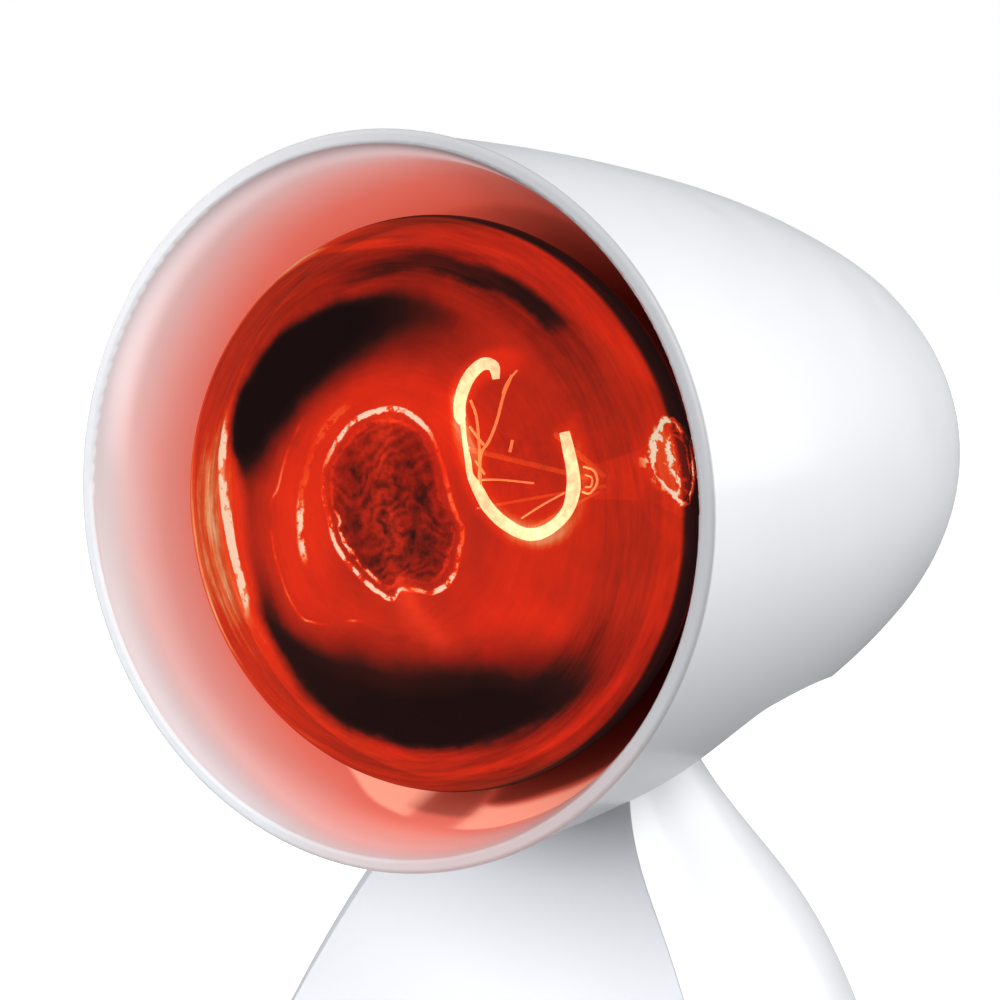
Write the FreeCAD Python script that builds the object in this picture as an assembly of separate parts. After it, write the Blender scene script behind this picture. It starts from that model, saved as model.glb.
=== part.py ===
"""Infrared heat therapy lamp: a bullet-shaped head with a red reflector bulb, tilting in steps on a flared foot.

Frame: +Z up, the lamp looks along -Y, +X is to the right for someone who looks into the mouth.
The origin is on the table, under the middle of the lamp. Units are millimetres.
A "station" is a distance behind the plane of the mouth, along the level axis of the head.
"""
import FreeCAD
import Part
import math
import os

V = FreeCAD.Vector
os.makedirs("parts", exist_ok=True)

# ---------------------------------------------------------------- driving sizes
# head
mouth_radius = 58.5          # outer edge of the lip
axis_height = 139.5          # level axis of the head above the table
lip_depth = 1.6
parting_gap = 0.4            # groove between the lip and the housing
housing_front_radius = 57.9
housing_wall = 2.0
rebate_wall = 1.1            # thinned front edge of the housing that the lip hides
rebate_depth = 3.0
# The housing's outline is a chain of tangent arcs. A long flank arc starts it, and its radius follows from the
# head's length. The arcs below come next. A last arc, centred on the axis, closes the dome.
housing_slope = -1.72        # heading at the front, degrees
flank_turn = -5.45
housing_arcs = [(412.0, -7.41), (123.8, -13.13), (23.3, -54.05)]     # (radius, turn in degrees)
rear_room = 27.6             # from the bulb's tip to the rear of the dome
boss_radius = 4.0
boss_length = 24.0
boss_web = 2.0
boss_hole_depth = 14.0
vent_count = 12
vent_width = 2.6
vent_inner_radius = 9.0
vent_outer_radius = 21.0

# relief in the underside of the housing, which lets the head tilt over the foot
relief_front = 38.0          # station of the relief's front wall
relief_peak = 74.5           # station where its roof is highest
relief_drop = 34.9           # roof below the head's axis there
relief_roof_radius = 168.0
relief_corner = 20.0
relief_wall = 1.7            # housing wall over the relief
relief_end = 52.0            # rear end of the roof's arc outside the head, degrees above level

# tilt joint
pivot_station = 64.0
pivot_drop = 46.0            # below the head's axis
tilt_step = 10.0
tilt_stops = 5
running_gap = 0.8            # between the foot's crown and the relief
crown_depth = 42.5           # how far below the pivot the crown follows the relief
pin_diameter = 5.0
pin_fit = 0.1                # radial play of the pin
knuckle_width = 8.0
knuckle_eye_radius = 7.0
knuckle_front = 5.5          # front of the stem, ahead of the pivot
knuckle_stem = 14.5          # length of the stem along the head
knuckle_screw_steps = [-1.6, 6.0]                                    # behind the pivot
knuckle_screw_grip = 5.5
cheek_thickness = 1.5
washer_thickness = 0.6
washer_radius = 6.2
washer_gap = 0.05
bracket_half_width = 17.0
bracket_screw_x = 13.0
bracket_tail = 19.0          # tail that carries the spring, behind the pivot
pin_head = 1.6
pin_end = 3.0
clip_thickness = 0.6
detent_radius = 12.0
detent_thickness = 1.5
notch_radius = 1.3
notch_offset = 0.2           # centres of the notches outside the sector's edge
sector_margin = 26.0         # sector beyond its end notches, degrees
spring_thickness = 0.5
spring_width = 5.0
spring_screw_back = 15.5     # behind the pivot
spring_screw_size = 2.5
spring_screw_head = 4.4

# liner
liner_wall = 0.8
lip_round = 0.7              # inner edge of the lip
# The bowl's inner surface is a chain of tangent arcs from the lip to the rear flange; the radii are relative.
liner_front_radius = 56.1
liner_rear_radius = 22.2
liner_slope = -22.13
liner_arcs = [(30.7, 18.57), (46.6, -38.17), (73.7, 31.06), (166.2, 6.98)]
liner_flange_width = 17.0    # ears of the liner's rear flange, for the two screws
ear_span = 28.0              # its screws left and right of the axis
ear_margin = 6.0

# bulb
bulb_drop = 1.4              # the lampholder and the bulb sit this far below the head's axis
bulb_radius = 46.5
bulb_apex_station = 0.4
bulb_dome_radius = 110.0
bulb_shoulder_radius = 10.0
bulb_length = 138.0
bulb_wall = 0.9
bulb_shoulder_end = 72.0     # where the shoulder meets the reflector, degrees above level
bulb_neck_radius = 16.6
reflector_arcs = [(104.0, -16.89), (90.9, 26.52), (40.5, 8.37)]      # relative radii, turns in degrees
cap_radius = 13.1
cap_length = 29.0            # from its collar to the solder tip
cap_collar = 2.3
cap_skirt = 5.0              # from the front of the collar to the straight part
cap_collar_gap = 0.35
cap_wall = 0.5
insulator_step = 2.2         # insulator's shoulder and face, ahead of the tip
insulator_face = 0.9
insulator_radius = 6.0
insulator_seat = 9.1         # radius where the cap's end meets its shoulder
tip_radius = 4.4
glass_end = 2.0              # straight neck inside the collar
stem_seat = 3.0              # thickness of the end of the glass, where the stem is fused on

# filament, its wires and its stem
filament_station = 44.0
filament_radius = 11.0
filament_wire = 1.1
filament_side = -1.0         # centre of its ring beside and above the bulb's axis
filament_rise = 3.5
filament_from = 160.0
filament_to = 400.0
lead_diameter = 0.9
support_diameter = 0.5
support_angles = [220.0, 280.0, 340.0]
stem_front = 70.0
stem_tip_radius = 3.0
stem_neck_radius = 5.0
stem_flare_radius = 9.5
stem_flare = 10.0
lead_gap = 0.2               # from the wires to the front of the stem

# lampholder
holder_radius = 19.5
holder_wall_gap = 0.35       # between the screw shell and the bulb's cap
holder_shell_wall = 0.4
holder_floor = 9.0
holder_overlap = 3.4         # front of the holder behind the front of the cap's collar
holder_tip_gap = 2.0         # from the bulb's tip to the holder's floor
holder_shell_start = 5.0
holder_shell_length = 20.0
holder_groove = 1.2
holder_screw_span = 9.0
contact_sheet = 0.5          # sprung tongue: sheet, half width, root, bend and end from the axis
contact_half_width = 2.5
contact_root = 6.4
contact_bend = 5.0
contact_end = 3.0
bracket_thickness = 1.5      # yoke of the holder
yoke_half_height = 7.0
nut_radius = 2.7
nut_thickness = 2.2

# foot: its plan at levels from the rim on the table to the top of the crown
#        share of the height, half width at the ridges, ridge station, rear station, hollow of the front face
foot_form = [(0.0, 60.0, 22.6, 118.0, 7.5),
             (0.1165, 55.2, 25.4, 117.0, 7.0),
             (0.4361, 40.0, 33.4, 111.4, 5.2),
             (0.6194, 29.8, 38.6, 102.0, 4.2),
             (0.7227, 23.6, 41.7, 92.8, 3.6),
             (0.8966, 19.6, 46.2, 78.0, 3.0),
             (1.0, 19.3, 47.2, 74.0, 3.0)]
foot_clearance = 1.6         # rim of the foot above the table
crown_rise = 14.5            # highest plan above the pivot
foot_wall = 2.2
cover_joint = 0.2            # parting line between the front cover and the rear shell
cover_bow = 1.6              # parting surface behind the cover's inner face in the middle
plate_thickness = 2.5
plate_gap = 0.25
shell_draft = 1.1            # how far the wall closes in over the plate's height
pad_radius = 6.5
pad_height = 2.8
pad_places = [(-44.0, 40.0), (44.0, 40.0), (-36.0, 84.0), (36.0, 84.0)]         # (x, station)
post_radius = 3.8
post_places = [(-36.0, 52.0), (36.0, 52.0), (-30.0, 96.0), (30.0, 96.0)]
cover_post_places = [(-22.0, 35.5), (22.0, 35.5)]
cover_post_length = 20.0
post_hole_depth = 11.0
plate_screw_length = 9.0
plate_screw_seat = 0.9
shelf_drop = 27.5            # underside of the shelf that carries the hinge bracket, below the pivot
shelf_thickness = 2.5
shelf_hole_radius = 6.0      # for the wires
shelf_hole_back = 20.0       # behind the pivot
slot_front = 13.0            # slots in the crown, ahead of and behind the pivot
slot_rear = 18.0
slot_play = 0.6

# switch and inlet in the rear of the foot
switch_height = 38.0
bezel_width = 15.0
bezel_length = 21.0
bezel_thickness = 1.8
switch_body_width = 12.6
switch_body_length = 18.6
switch_body_depth = 13.0
rocker_width = 9.4
rocker_length = 15.4
rocker_angle = 12.0
rocker_axis_depth = -1.0
rocker_face = 3.4            # ridge between its finger faces, behind its axis
rocker_stub_radius = 1.2
rocker_stub = 1.2
rocker_play = 0.25
rocker_back = 3.5            # cut-off side of the rocker's drum, ahead of its axis
well_depth = 7.0
tab_width = 4.8
tab_length = 8.0
tab_thickness = 0.8
tab_span = 5.0
panel_station = 110.0        # flat panel let into the rear shell
panel_margin = 4.0
inlet_height = 11.5
inlet_radius = 5.0
cord_radius = 3.1
bushing_flange = 1.6

# terminals and wiring
terminal_station = 74.0
terminal_length = 16.0
terminal_width = 20.0
terminal_height = 11.0
terminal_span = 5.0          # poles left and right of the middle
terminal_play = 0.05
sleeve_height = 5.0
sleeve_length = 13.0
sleeve_outer = 1.95
sleeve_inner = 1.3
grommet_x = -12.0
grommet_hole = 3.2
grommet_flange = 1.4
sleeve_diameter = 4.4
sleeve_rise = 11.5           # lower end of the hinge's sleeve above the bracket's base
wire_diameter = 1.9
wire_spacing = 2.1
wire_rise = 3.4              # first bend over the grommet
wire_drop = 24.0             # run of the head's wires below the lampholder's axis
wire_entry = 11.0            # where they enter the lampholder, below and beside its axis
wire_bow = 8.0               # bow behind the lampholder
foot_wire_bend = 5.5         # first bend below the sleeve
foot_wire_low = 25.0         # lower bend under the shelf
foot_wire_bow = 16.0         # bow in front of the terminals
foot_wire_lead = 9.0         # straight run into the terminals

# screws
small_screw = 3.0
small_head = 5.6
screw_fit = 0.15

# ---------------------------------------------------------------- derived places
bulb_end = bulb_apex_station + bulb_length
head_length = bulb_end + rear_room
rim_y = -head_length / 2
pivot_y = rim_y + pivot_station
pivot_z = axis_height - pivot_drop
lamp_z = axis_height - bulb_drop
tilt_range = tilt_step * (tilt_stops - 1)
housing_start = lip_depth + parting_gap
cap_start = bulb_end - cap_length
holder_front = cap_start + holder_overlap
holder_rear = bulb_end + holder_tip_gap + holder_floor
shell_inner = cap_radius + holder_wall_gap
cheek_inner_left = knuckle_width / 2 + washer_thickness + 2 * washer_gap
cheek_inner_right = cheek_inner_left + detent_thickness
shelf_height = pivot_z - shelf_drop
bracket_base_top = shelf_height + shelf_thickness + cheek_thickness
spring_x = cheek_inner_right - 0.2 - spring_width / 2
spring_screw_y = pivot_y + spring_screw_back
sleeve_low = bracket_base_top + sleeve_rise
plate_top = foot_clearance + plate_thickness
foot_span = pivot_z + crown_rise - foot_clearance
foot_plans = [(foot_clearance + share * foot_span, *plan) for share, *plan in foot_form]


def at(station, height):
    """Point in the middle plane: a station behind the mouth, and a height above the head's axis."""
    return V(0, rim_y + station, axis_height + height)


def save(name, solids):
    """Write one node: a solid, or a group of separate solids."""
    solids = solids if isinstance(solids, list) else [solids]
    shapes = [piece for solid in solids for piece in solid.Solids]
    shape = shapes[0] if len(shapes) == 1 else Part.makeCompound(shapes)
    shape.exportStep(f"parts/{name}.step")
    print(f"{name}: {len(shapes)} solid(s), {sum(s.Volume for s in shapes):.0f} mm3, valid {shape.isValid()}")


def rod(radius, start, direction, length):
    """Cylinder from a start point along a direction."""
    return Part.makeCylinder(radius, length, start, direction)


def tube(outer, inner, start, direction, length):
    """Hollow cylinder."""
    return rod(outer, start, direction, length).cut(rod(inner, start, direction, length))


def block(x, y, z):
    """Box given by its three (low, high) spans."""
    return Part.makeBox(x[1] - x[0], y[1] - y[0], z[1] - z[0], V(x[0], y[0], z[0]))


def stations(front, rear):
    """Span along Y between two stations."""
    return (rim_y + front, rim_y + rear)


def extrude_across(edges, half_width, middle=0.0):
    """Prism across the lamp, from a closed outline in the middle plane."""
    face = Part.Face(Part.Wire(Part.__sortEdges__(edges)))
    face.translate(V(middle - half_width, 0, 0))
    return face.extrude(V(2 * half_width, 0, 0))


def spin(edges, drop=0.0):
    """Solid of revolution about the level axis, from a closed half outline in the middle plane."""
    face = Part.Face(Part.Wire(Part.__sortEdges__(edges)))
    return face.revolve(V(0, 0, axis_height - drop), V(0, 1, 0), 360)


def polyline(points, closed=True):
    """Straight edges through points."""
    ends = points[1:] + points[:1] if closed else points[1:]
    return [Part.makeLine(a, b) for a, b in zip(points, ends) if a.distanceToPoint(b) > 1e-6]


def on_circle(centre, radius, angle):
    """Point of a circle in the middle plane; 0 degrees is rearwards, 90 degrees is up."""
    a = math.radians(angle)
    return V(0, centre.y + radius * math.cos(a), centre.z + radius * math.sin(a))


def direction_angle(centre, point):
    """Angle of a point seen from a centre, in the middle plane."""
    return math.degrees(math.atan2(point.z - centre.z, point.y - centre.y))


def arc(centre, radius, start, end):
    """Arc of a circle in the middle plane between two angles."""
    middle = (start + end) / 2
    ends = [on_circle(centre, radius, a) for a in (start, middle, end)]
    return Part.Arc(*ends).toShape()


def arc_chain(start, heading, arcs):
    """Tangent arcs in the middle plane from a point and a heading in degrees (a turn above zero is upwards):
    the (centre, radius, turn, first heading) of each, the end point and the end heading."""
    chain = []
    point = start
    for radius, turn in arcs:
        side = math.copysign(90, turn)
        centre = on_circle(point, radius, heading + side)
        chain.append((centre, radius, turn, heading))
        heading += turn
        point = on_circle(centre, radius, heading - side)
    return chain, point, heading


def chain_edges(chain, inset=0.0):
    """Edges of a chain of arcs, moved to the right of its direction by an inset, and its first and last points."""
    spans = []
    for centre, radius, turn, heading in chain:
        side = math.copysign(90, turn)
        spans.append((centre, radius + inset * side / 90, heading - side, heading + turn - side))
    edges = [arc(*span) for span in spans]
    return edges, on_circle(*spans[0][:3]), on_circle(spans[-1][0], spans[-1][1], spans[-1][3])


def scaled_chain(start, heading, arcs, end_height):
    """Chain of arcs whose relative radii are scaled so that it ends at a height."""
    reached = arc_chain(start, heading, arcs)[1]
    scale = (end_height - start.z) / (reached.z - start.z)
    return arc_chain(start, heading, [(radius * scale, turn) for radius, turn in arcs])


def screw(head_top, direction, length, diameter=small_screw, head=small_head):
    """Pan-head screw: the head's top, the driving direction and the length under the head."""
    head_height = 0.4 * head
    solid = rod(head / 2, head_top, direction, head_height)
    solid = solid.fuse(rod(diameter / 2, head_top, direction, head_height + length))
    across = V(1, 0, 0) if abs(direction.x) < 0.5 else V(0, 1, 0)
    other = direction.cross(across)
    recess = None
    for side in (across, other):
        arm = Part.makeBox(0.5 * head, 0.8, 0.4 * head_height)
        arm.translate(V(-0.25 * head, -0.4, 0))
        frame = FreeCAD.Matrix(side.x, direction.cross(side).x, direction.x, head_top.x,
                               side.y, direction.cross(side).y, direction.y, head_top.y,
                               side.z, direction.cross(side).z, direction.z, head_top.z, 0, 0, 0, 1)
        arm.transformShape(frame)
        recess = arm if recess is None else recess.fuse(arm)
    return solid.cut(recess).removeSplitter()


def lead(points, diameter):
    """Round wire: straight runs joined by tangent arcs as large as their runs allow."""
    runs = []
    here = points[0]
    for before, corner, after in zip(points, points[1:], points[2:]):
        back = before - corner
        ahead = after - corner
        reach = 0.45 * min(back.Length, ahead.Length)
        back.normalize()
        ahead.normalize()
        turn = math.pi - back.getAngle(ahead)
        start = corner + back * reach
        centre = start + (ahead + back * math.cos(turn)) * (reach / math.tan(turn / 2) / math.sin(turn))
        section = Part.Face(Part.Wire([Part.makeCircle(diameter / 2, start, back)]))
        runs.append(rod(diameter / 2, here, -back, here.distanceToPoint(start)))
        runs.append(section.revolve(centre, ahead.cross(back), math.degrees(turn)))
        here = corner + ahead * reach
    last = points[-1] - here
    runs.append(rod(diameter / 2, here, last, last.Length))
    return runs[0].fuse(runs[1:])


# ---------------------------------------------------------------- head
def housing_chain(flank_radius):
    """Arcs of the housing's outline for a radius of its flank, and the point where they meet the axis."""
    front = at(housing_start, housing_front_radius)
    arcs = [(flank_radius, flank_turn)] + housing_arcs
    reached, heading = arc_chain(front, housing_slope, arcs)[1:]
    closing = ((reached.z - axis_height) / math.cos(math.radians(heading)), -90 - heading)
    return arc_chain(front, housing_slope, arcs + [closing])[:2]


# the head's length grows in step with the radius of the flank
length_at_zero, length_at_one = [housing_chain(radius)[1].y for radius in (0.0, 1.0)]
flank_radius = (rim_y + head_length - length_at_zero) / (length_at_one - length_at_zero)


def bullet(inset):
    """Solid bounded by the housing's outline at an inset (negative: a clearance outside)."""
    edges, front, rear = chain_edges(housing_chain(flank_radius)[0], inset)
    return spin(edges + polyline([rear, V(0, front.y, axis_height), front], closed=False))


def relief_points(gap):
    """Centres and radii of the relief's corner and roof, narrowed by a gap (negative: widened by a wall)."""
    roof_centre = at(relief_peak, -relief_drop - relief_roof_radius)
    corner_y = rim_y + relief_front + relief_corner
    reach = relief_roof_radius - relief_corner
    corner_z = roof_centre.z + math.sqrt(reach ** 2 - (corner_y - roof_centre.y) ** 2)
    return V(0, corner_y, corner_z), relief_corner - gap, roof_centre, relief_roof_radius - gap


def around_pivot(point, angle):
    """Turn a point about the pivot as the head tilts its mouth up by an angle."""
    a = math.radians(angle)
    y = point.y - pivot_y
    z = point.z - pivot_z
    return V(point.x, pivot_y + y * math.cos(a) + z * math.sin(a), pivot_z - y * math.sin(a) + z * math.cos(a))


def relief_prism(gap):
    """The relief as a prism right across the head."""
    corner, corner_radius, roof, roof_radius = relief_points(gap)
    meet = direction_angle(roof, corner)
    floor = axis_height - 2 * mouth_radius
    edges = [arc(corner, corner_radius, 180, meet), arc(roof, roof_radius, meet, relief_end)]
    start = on_circle(corner, corner_radius, 180)
    end = on_circle(roof, roof_radius, relief_end)
    edges += polyline([start, V(0, start.y, floor), V(0, end.y, floor), end], closed=False)
    return extrude_across(edges, 2 * mouth_radius)


def crown_prism(inset):
    """Room for the foot inside the relief: what stays clear of it from level to full tilt."""
    gap = running_gap + inset
    corner, corner_radius, roof, roof_radius = relief_points(gap)
    pivot = V(0, pivot_y, pivot_z)
    tilted = around_pivot(roof, tilt_range)
    meet = direction_angle(roof, corner)
    first = direction_angle(roof, pivot)
    last = direction_angle(tilted, pivot)
    crown_radius = roof_radius - roof.distanceToPoint(pivot)
    floor = pivot_z - crown_depth
    down = math.degrees(math.asin((floor - tilted.z) / roof_radius))
    edges = [arc(corner, corner_radius, 180, meet), arc(roof, roof_radius, meet, first),
             arc(pivot, crown_radius, first, last), arc(tilted, roof_radius, last, down)]
    start = on_circle(corner, corner_radius, 180)
    end = on_circle(tilted, roof_radius, down)
    edges += polyline([start, V(0, start.y, floor), end], closed=False)
    return extrude_across(edges, 2 * mouth_radius)


bowl_chain, bowl_end = scaled_chain(at(lip_round, liner_front_radius), liner_slope, liner_arcs,
                                    axis_height + liner_rear_radius)[:2]
ear_station = bowl_end.y - rim_y + liner_wall


def housing():
    """Outer housing: a revolved shell with the tilt relief, rear vents and bosses for the lampholder."""
    wall = bullet(0).cut(relief_prism(0))
    room = bullet(housing_wall).cut(relief_prism(-relief_wall))
    shell = wall.cut(room)
    rebate = rod(housing_front_radius - rebate_wall, at(0, 0), V(0, 1, 0), housing_start + rebate_depth)
    shell = shell.cut(rebate)
    vents = []
    for i in range(vent_count):
        slot = block((-vent_width / 2, vent_width / 2), stations(holder_rear, 2 * head_length),
                     (axis_height + vent_inner_radius, axis_height + vent_outer_radius))
        slot.rotate(at(0, 0), V(0, 1, 0), 360 / vent_count * (i + 0.5))
        vents.append(slot)
    shell = shell.cut(vents)
    front = ear_station + bracket_thickness
    bosses = []
    for side in (-1, 1):
        x = side * ear_span
        start = V(x, rim_y + front, lamp_z)
        boss = rod(boss_radius, start, V(0, 1, 0), boss_length)
        web = block(sorted((x, side * mouth_radius)), stations(front, front + boss_length),
                    (lamp_z - boss_web / 2, lamp_z + boss_web / 2))
        hole = rod(small_screw / 2, start, V(0, 1, 0), boss_hole_depth)
        bosses.append(boss.fuse(web).common(bullet(housing_wall / 2)).cut(hole))
    shell = shell.fuse(bosses)
    for y in knuckle_screw_places():
        shell = shell.cut(rod(small_screw / 2 + screw_fit, V(0, y, pivot_z), V(0, 0, 1), pivot_drop / 2))
    return shell.cut(rod(grommet_hole, V(grommet_x, pivot_y, pivot_z), V(0, 0, 1), pivot_drop / 2)).removeSplitter()


def liner():
    """White liner of the mouth: a lip in front of the housing, a bowl round the bulb and a rear flange."""
    inner, first, last = chain_edges(bowl_chain)
    outer, out_first, out_last = chain_edges(bowl_chain, -liner_wall)
    rim_round = lip_depth / 2
    centre_in = V(0, first.y, first.z + lip_round)
    centre_out = at(rim_round, mouth_radius - rim_round)
    lip_back = V(0, rim_y + lip_depth, out_first.z)
    edges = inner + outer + [arc(centre_in, lip_round, 270, 180), arc(centre_out, rim_round, 180, 0)]
    edges += [Part.makeLine(last, out_last), Part.makeLine(lip_back, out_first),
              Part.makeLine(on_circle(centre_in, lip_round, 180), on_circle(centre_out, rim_round, 180)),
              Part.makeLine(on_circle(centre_out, rim_round, 0), lip_back)]
    bowl = spin(edges)
    flange = rod(ear_span + ear_margin, at(ear_station - liner_wall, 0), V(0, 1, 0), liner_wall)
    ears = block((-mouth_radius, mouth_radius), stations(0, head_length),
                 (axis_height - liner_flange_width / 2, axis_height + liner_flange_width / 2))
    ring = rod(liner_rear_radius + 3 * liner_wall, at(ear_station - liner_wall, 0), V(0, 1, 0), liner_wall)
    flange = flange.common(ears).fuse(ring)
    flange = flange.cut(rod(liner_rear_radius, at(0, 0), V(0, 1, 0), head_length))
    for side in (-1, 1):
        x = side * ear_span
        flange = flange.cut(rod(small_screw / 2 + screw_fit, V(x, rim_y, lamp_z), V(0, 1, 0), head_length))
    return bowl.fuse(flange).removeSplitter()


# ---------------------------------------------------------------- bulb
def lamp_at(station, radius):
    """Point in the middle plane, from the axis of the bulb and lampholder."""
    return V(0, rim_y + station, lamp_z + radius)


def bulb_outline(inset):
    """Half outline of the glass: dome, shoulder, silvered reflector and neck."""
    dome_centre = bulb_apex_station + bulb_dome_radius
    span = math.sqrt((bulb_dome_radius - bulb_shoulder_radius) ** 2 - (bulb_radius - bulb_shoulder_radius) ** 2)
    widest = dome_centre - span
    shoulder = lamp_at(widest, bulb_radius - bulb_shoulder_radius)
    dome = lamp_at(dome_centre, 0)
    join = 180 - math.degrees(math.asin((bulb_radius - bulb_shoulder_radius)
                                        / (bulb_dome_radius - bulb_shoulder_radius)))
    dome_arc = arc(dome, bulb_dome_radius - inset, 180, join)
    shoulder_arc = arc(shoulder, bulb_shoulder_radius - inset, join, bulb_shoulder_end)
    start = on_circle(shoulder, bulb_shoulder_radius, bulb_shoulder_end)
    chain = scaled_chain(start, bulb_shoulder_end - 90, reflector_arcs, lamp_z + bulb_neck_radius)[0]
    reflector, start, neck_start = chain_edges(chain, inset)
    shorter = stem_seat if inset else 0
    neck_end = lamp_at(cap_start + glass_end - shorter, bulb_neck_radius - inset)
    taper = lamp_at(cap_start + cap_skirt - shorter, cap_radius - bulb_wall - inset)
    axis_end = lamp_at(taper.y - rim_y, 0)
    apex = on_circle(dome, bulb_dome_radius - inset, 180)
    return [dome_arc, shoulder_arc] + reflector + polyline([neck_start, neck_end, taper, axis_end, apex], closed=False)


def bulb_glass():
    """Blown glass envelope of one piece."""
    return spin(bulb_outline(0), bulb_drop).cut(spin(bulb_outline(bulb_wall), bulb_drop)).removeSplitter()


def bulb_cap():
    """Metal screw cap, drawn as its crest cylinder, with its collar over the neck."""
    glass = spin(bulb_outline(0), bulb_drop)
    skirt = cap_start + cap_skirt
    crest_end = bulb_end - insulator_step - cap_wall - bulb_wall - insulator_face
    collar = [lamp_at(cap_start, bulb_neck_radius + cap_collar_gap),
              lamp_at(cap_start + cap_collar, bulb_neck_radius + cap_collar_gap),
              lamp_at(skirt, cap_radius), lamp_at(crest_end, cap_radius),
              lamp_at(bulb_end - insulator_step, insulator_seat), lamp_at(bulb_end - insulator_step, 0),
              lamp_at(cap_start, 0)]
    solid = spin(polyline(collar), bulb_drop)
    core = [lamp_at(skirt, 0), lamp_at(skirt, cap_radius - cap_wall),
            lamp_at(crest_end - cap_wall, cap_radius - cap_wall), lamp_at(crest_end - cap_wall, 0)]
    return solid.cut(glass).cut(spin(polyline(core), bulb_drop)).removeSplitter()


def bulb_insulator():
    """Black glass insulator at the end of the cap."""
    inner = bulb_end - 2 * insulator_step
    step = bulb_end - insulator_step
    face = bulb_end - insulator_face
    outline = [lamp_at(inner, 0), lamp_at(inner, insulator_radius), lamp_at(step, insulator_radius),
               lamp_at(step, insulator_seat), lamp_at(face, tip_radius + cap_wall), lamp_at(face, 0)]
    return spin(polyline(outline), bulb_drop).cut(bulb_cap())


def bulb_contact():
    """Solder tip of the cap."""
    return rod(tip_radius, lamp_at(bulb_end - insulator_face, 0), V(0, 1, 0), insulator_face)


def bulb_stem():
    """Glass stem that carries the filament's wires, flared to the end of the glass."""
    foot = cap_start + glass_end
    outline = [lamp_at(stem_front, 0), lamp_at(stem_front, stem_tip_radius),
               lamp_at(foot - 2 * stem_flare, stem_neck_radius), lamp_at(foot - stem_flare / 2, stem_flare_radius),
               lamp_at(foot, stem_flare_radius), lamp_at(foot, 0)]
    return spin(polyline(outline), bulb_drop)


def filament_point(angle, radius):
    """Point about the middle of the filament's ring, in its plane across the bulb."""
    a = math.radians(angle)
    return V(filament_side + radius * math.cos(a), rim_y + filament_station,
             lamp_z + filament_rise + radius * math.sin(a))


def bulb_filament():
    """Coiled filament as its envelope: a round bar bent to an open ring."""
    start = filament_point(filament_from, filament_radius)
    a = math.radians(filament_from)
    section = Part.Face(Part.Wire([Part.makeCircle(filament_wire / 2, start, V(-math.sin(a), 0, math.cos(a)))]))
    return section.revolve(filament_point(0, 0), V(0, -1, 0), filament_to - filament_from)


def bulb_leads():
    """Two lead wires and three support wires between the stem and the filament."""
    wires = [(filament_from, lead_diameter), (filament_to, lead_diameter)]
    wires += [(angle, support_diameter) for angle in support_angles]
    solids = []
    for angle, diameter in wires:
        a = math.radians(angle)
        spread = 0.6 * stem_tip_radius
        root = lamp_at(stem_front - lead_gap, 0) + V(spread * math.cos(a), 0, spread * math.sin(a))
        along = filament_point(angle, filament_radius - (filament_wire + diameter) / 2) - root
        solids.append(rod(diameter / 2, root, along, along.Length))
    return solids


# ---------------------------------------------------------------- lampholder
def lampholder():
    """Ceramic body with the socket and two fixing holes in its floor."""
    depth = holder_rear - holder_front
    outer = rod(holder_radius, lamp_at(holder_front, 0), V(0, 1, 0), depth)
    groove = tube(2 * holder_radius, holder_radius - holder_groove, lamp_at(holder_front + depth / 4, 0),
                  V(0, 1, 0), depth / 10)
    socket = rod(shell_inner + holder_shell_wall, lamp_at(holder_front, 0), V(0, 1, 0), depth - holder_floor)
    mouth = rod(bulb_neck_radius + 2 * cap_collar_gap, lamp_at(holder_front, 0), V(0, 1, 0), cap_skirt - 1.0)
    solid = outer.cut([groove, socket, mouth])
    for side in (-1, 1):
        place = lamp_at(holder_rear - holder_floor - 1, 0) + V(0, 0, side * holder_screw_span)
        solid = solid.cut(rod(small_screw / 2 + screw_fit, place, V(0, 1, 0), holder_floor + 2))
    return solid.removeSplitter()


def lampholder_shell():
    """Screw shell of the lampholder, drawn as its plain cylinder."""
    start = lamp_at(holder_front + holder_shell_start, 0)
    return tube(shell_inner + holder_shell_wall, shell_inner, start, V(0, 1, 0), holder_shell_length)


def lampholder_contact():
    """Sprung tongue that meets the tip of the cap."""
    low = bulb_end + holder_tip_gap
    high = bulb_end + 0.1
    sheet = contact_sheet
    outline = [lamp_at(low, -contact_root), lamp_at(low - sheet, -contact_root), lamp_at(low - sheet, -contact_bend),
               lamp_at(high, 0), lamp_at(high, contact_end), lamp_at(high + sheet, contact_end),
               lamp_at(high + sheet, 0), lamp_at(low, -contact_bend)]
    return extrude_across(polyline(outline), contact_half_width)


def lampholder_bracket():
    """Steel yoke: a plate behind the lampholder, two arms forward and two ears on the housing's bosses."""
    thickness = bracket_thickness
    half = yoke_half_height
    arm_x = holder_radius + 0.6
    rear = rim_y + holder_rear
    front = rim_y + ear_station
    z = (lamp_z - half, lamp_z + half)
    plate = block((-arm_x - thickness, arm_x + thickness), (rear, rear + thickness), z)
    arms = []
    for side in (-1, 1):
        x = sorted((side * arm_x, side * (arm_x + thickness)))
        arms.append(block(x, (front, rear + thickness), z))
        ear = block(sorted((side * arm_x, side * (ear_span + ear_margin))), (front, front + thickness), z)
        hole = rod(small_screw / 2 + screw_fit, V(side * ear_span, front - 1, lamp_z), V(0, 1, 0), 5)
        arms.append(ear.cut(hole))
    solid = plate.fuse(arms)
    for side in (-1, 1):
        place = V(0, rear - 1, lamp_z + side * holder_screw_span)
        tab = rod(4.5, V(0, rear, lamp_z + side * holder_screw_span), V(0, 1, 0), thickness)
        solid = solid.fuse(tab).cut(rod(small_screw / 2 + screw_fit, place, V(0, 1, 0), 4))
    return solid.removeSplitter()


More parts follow.
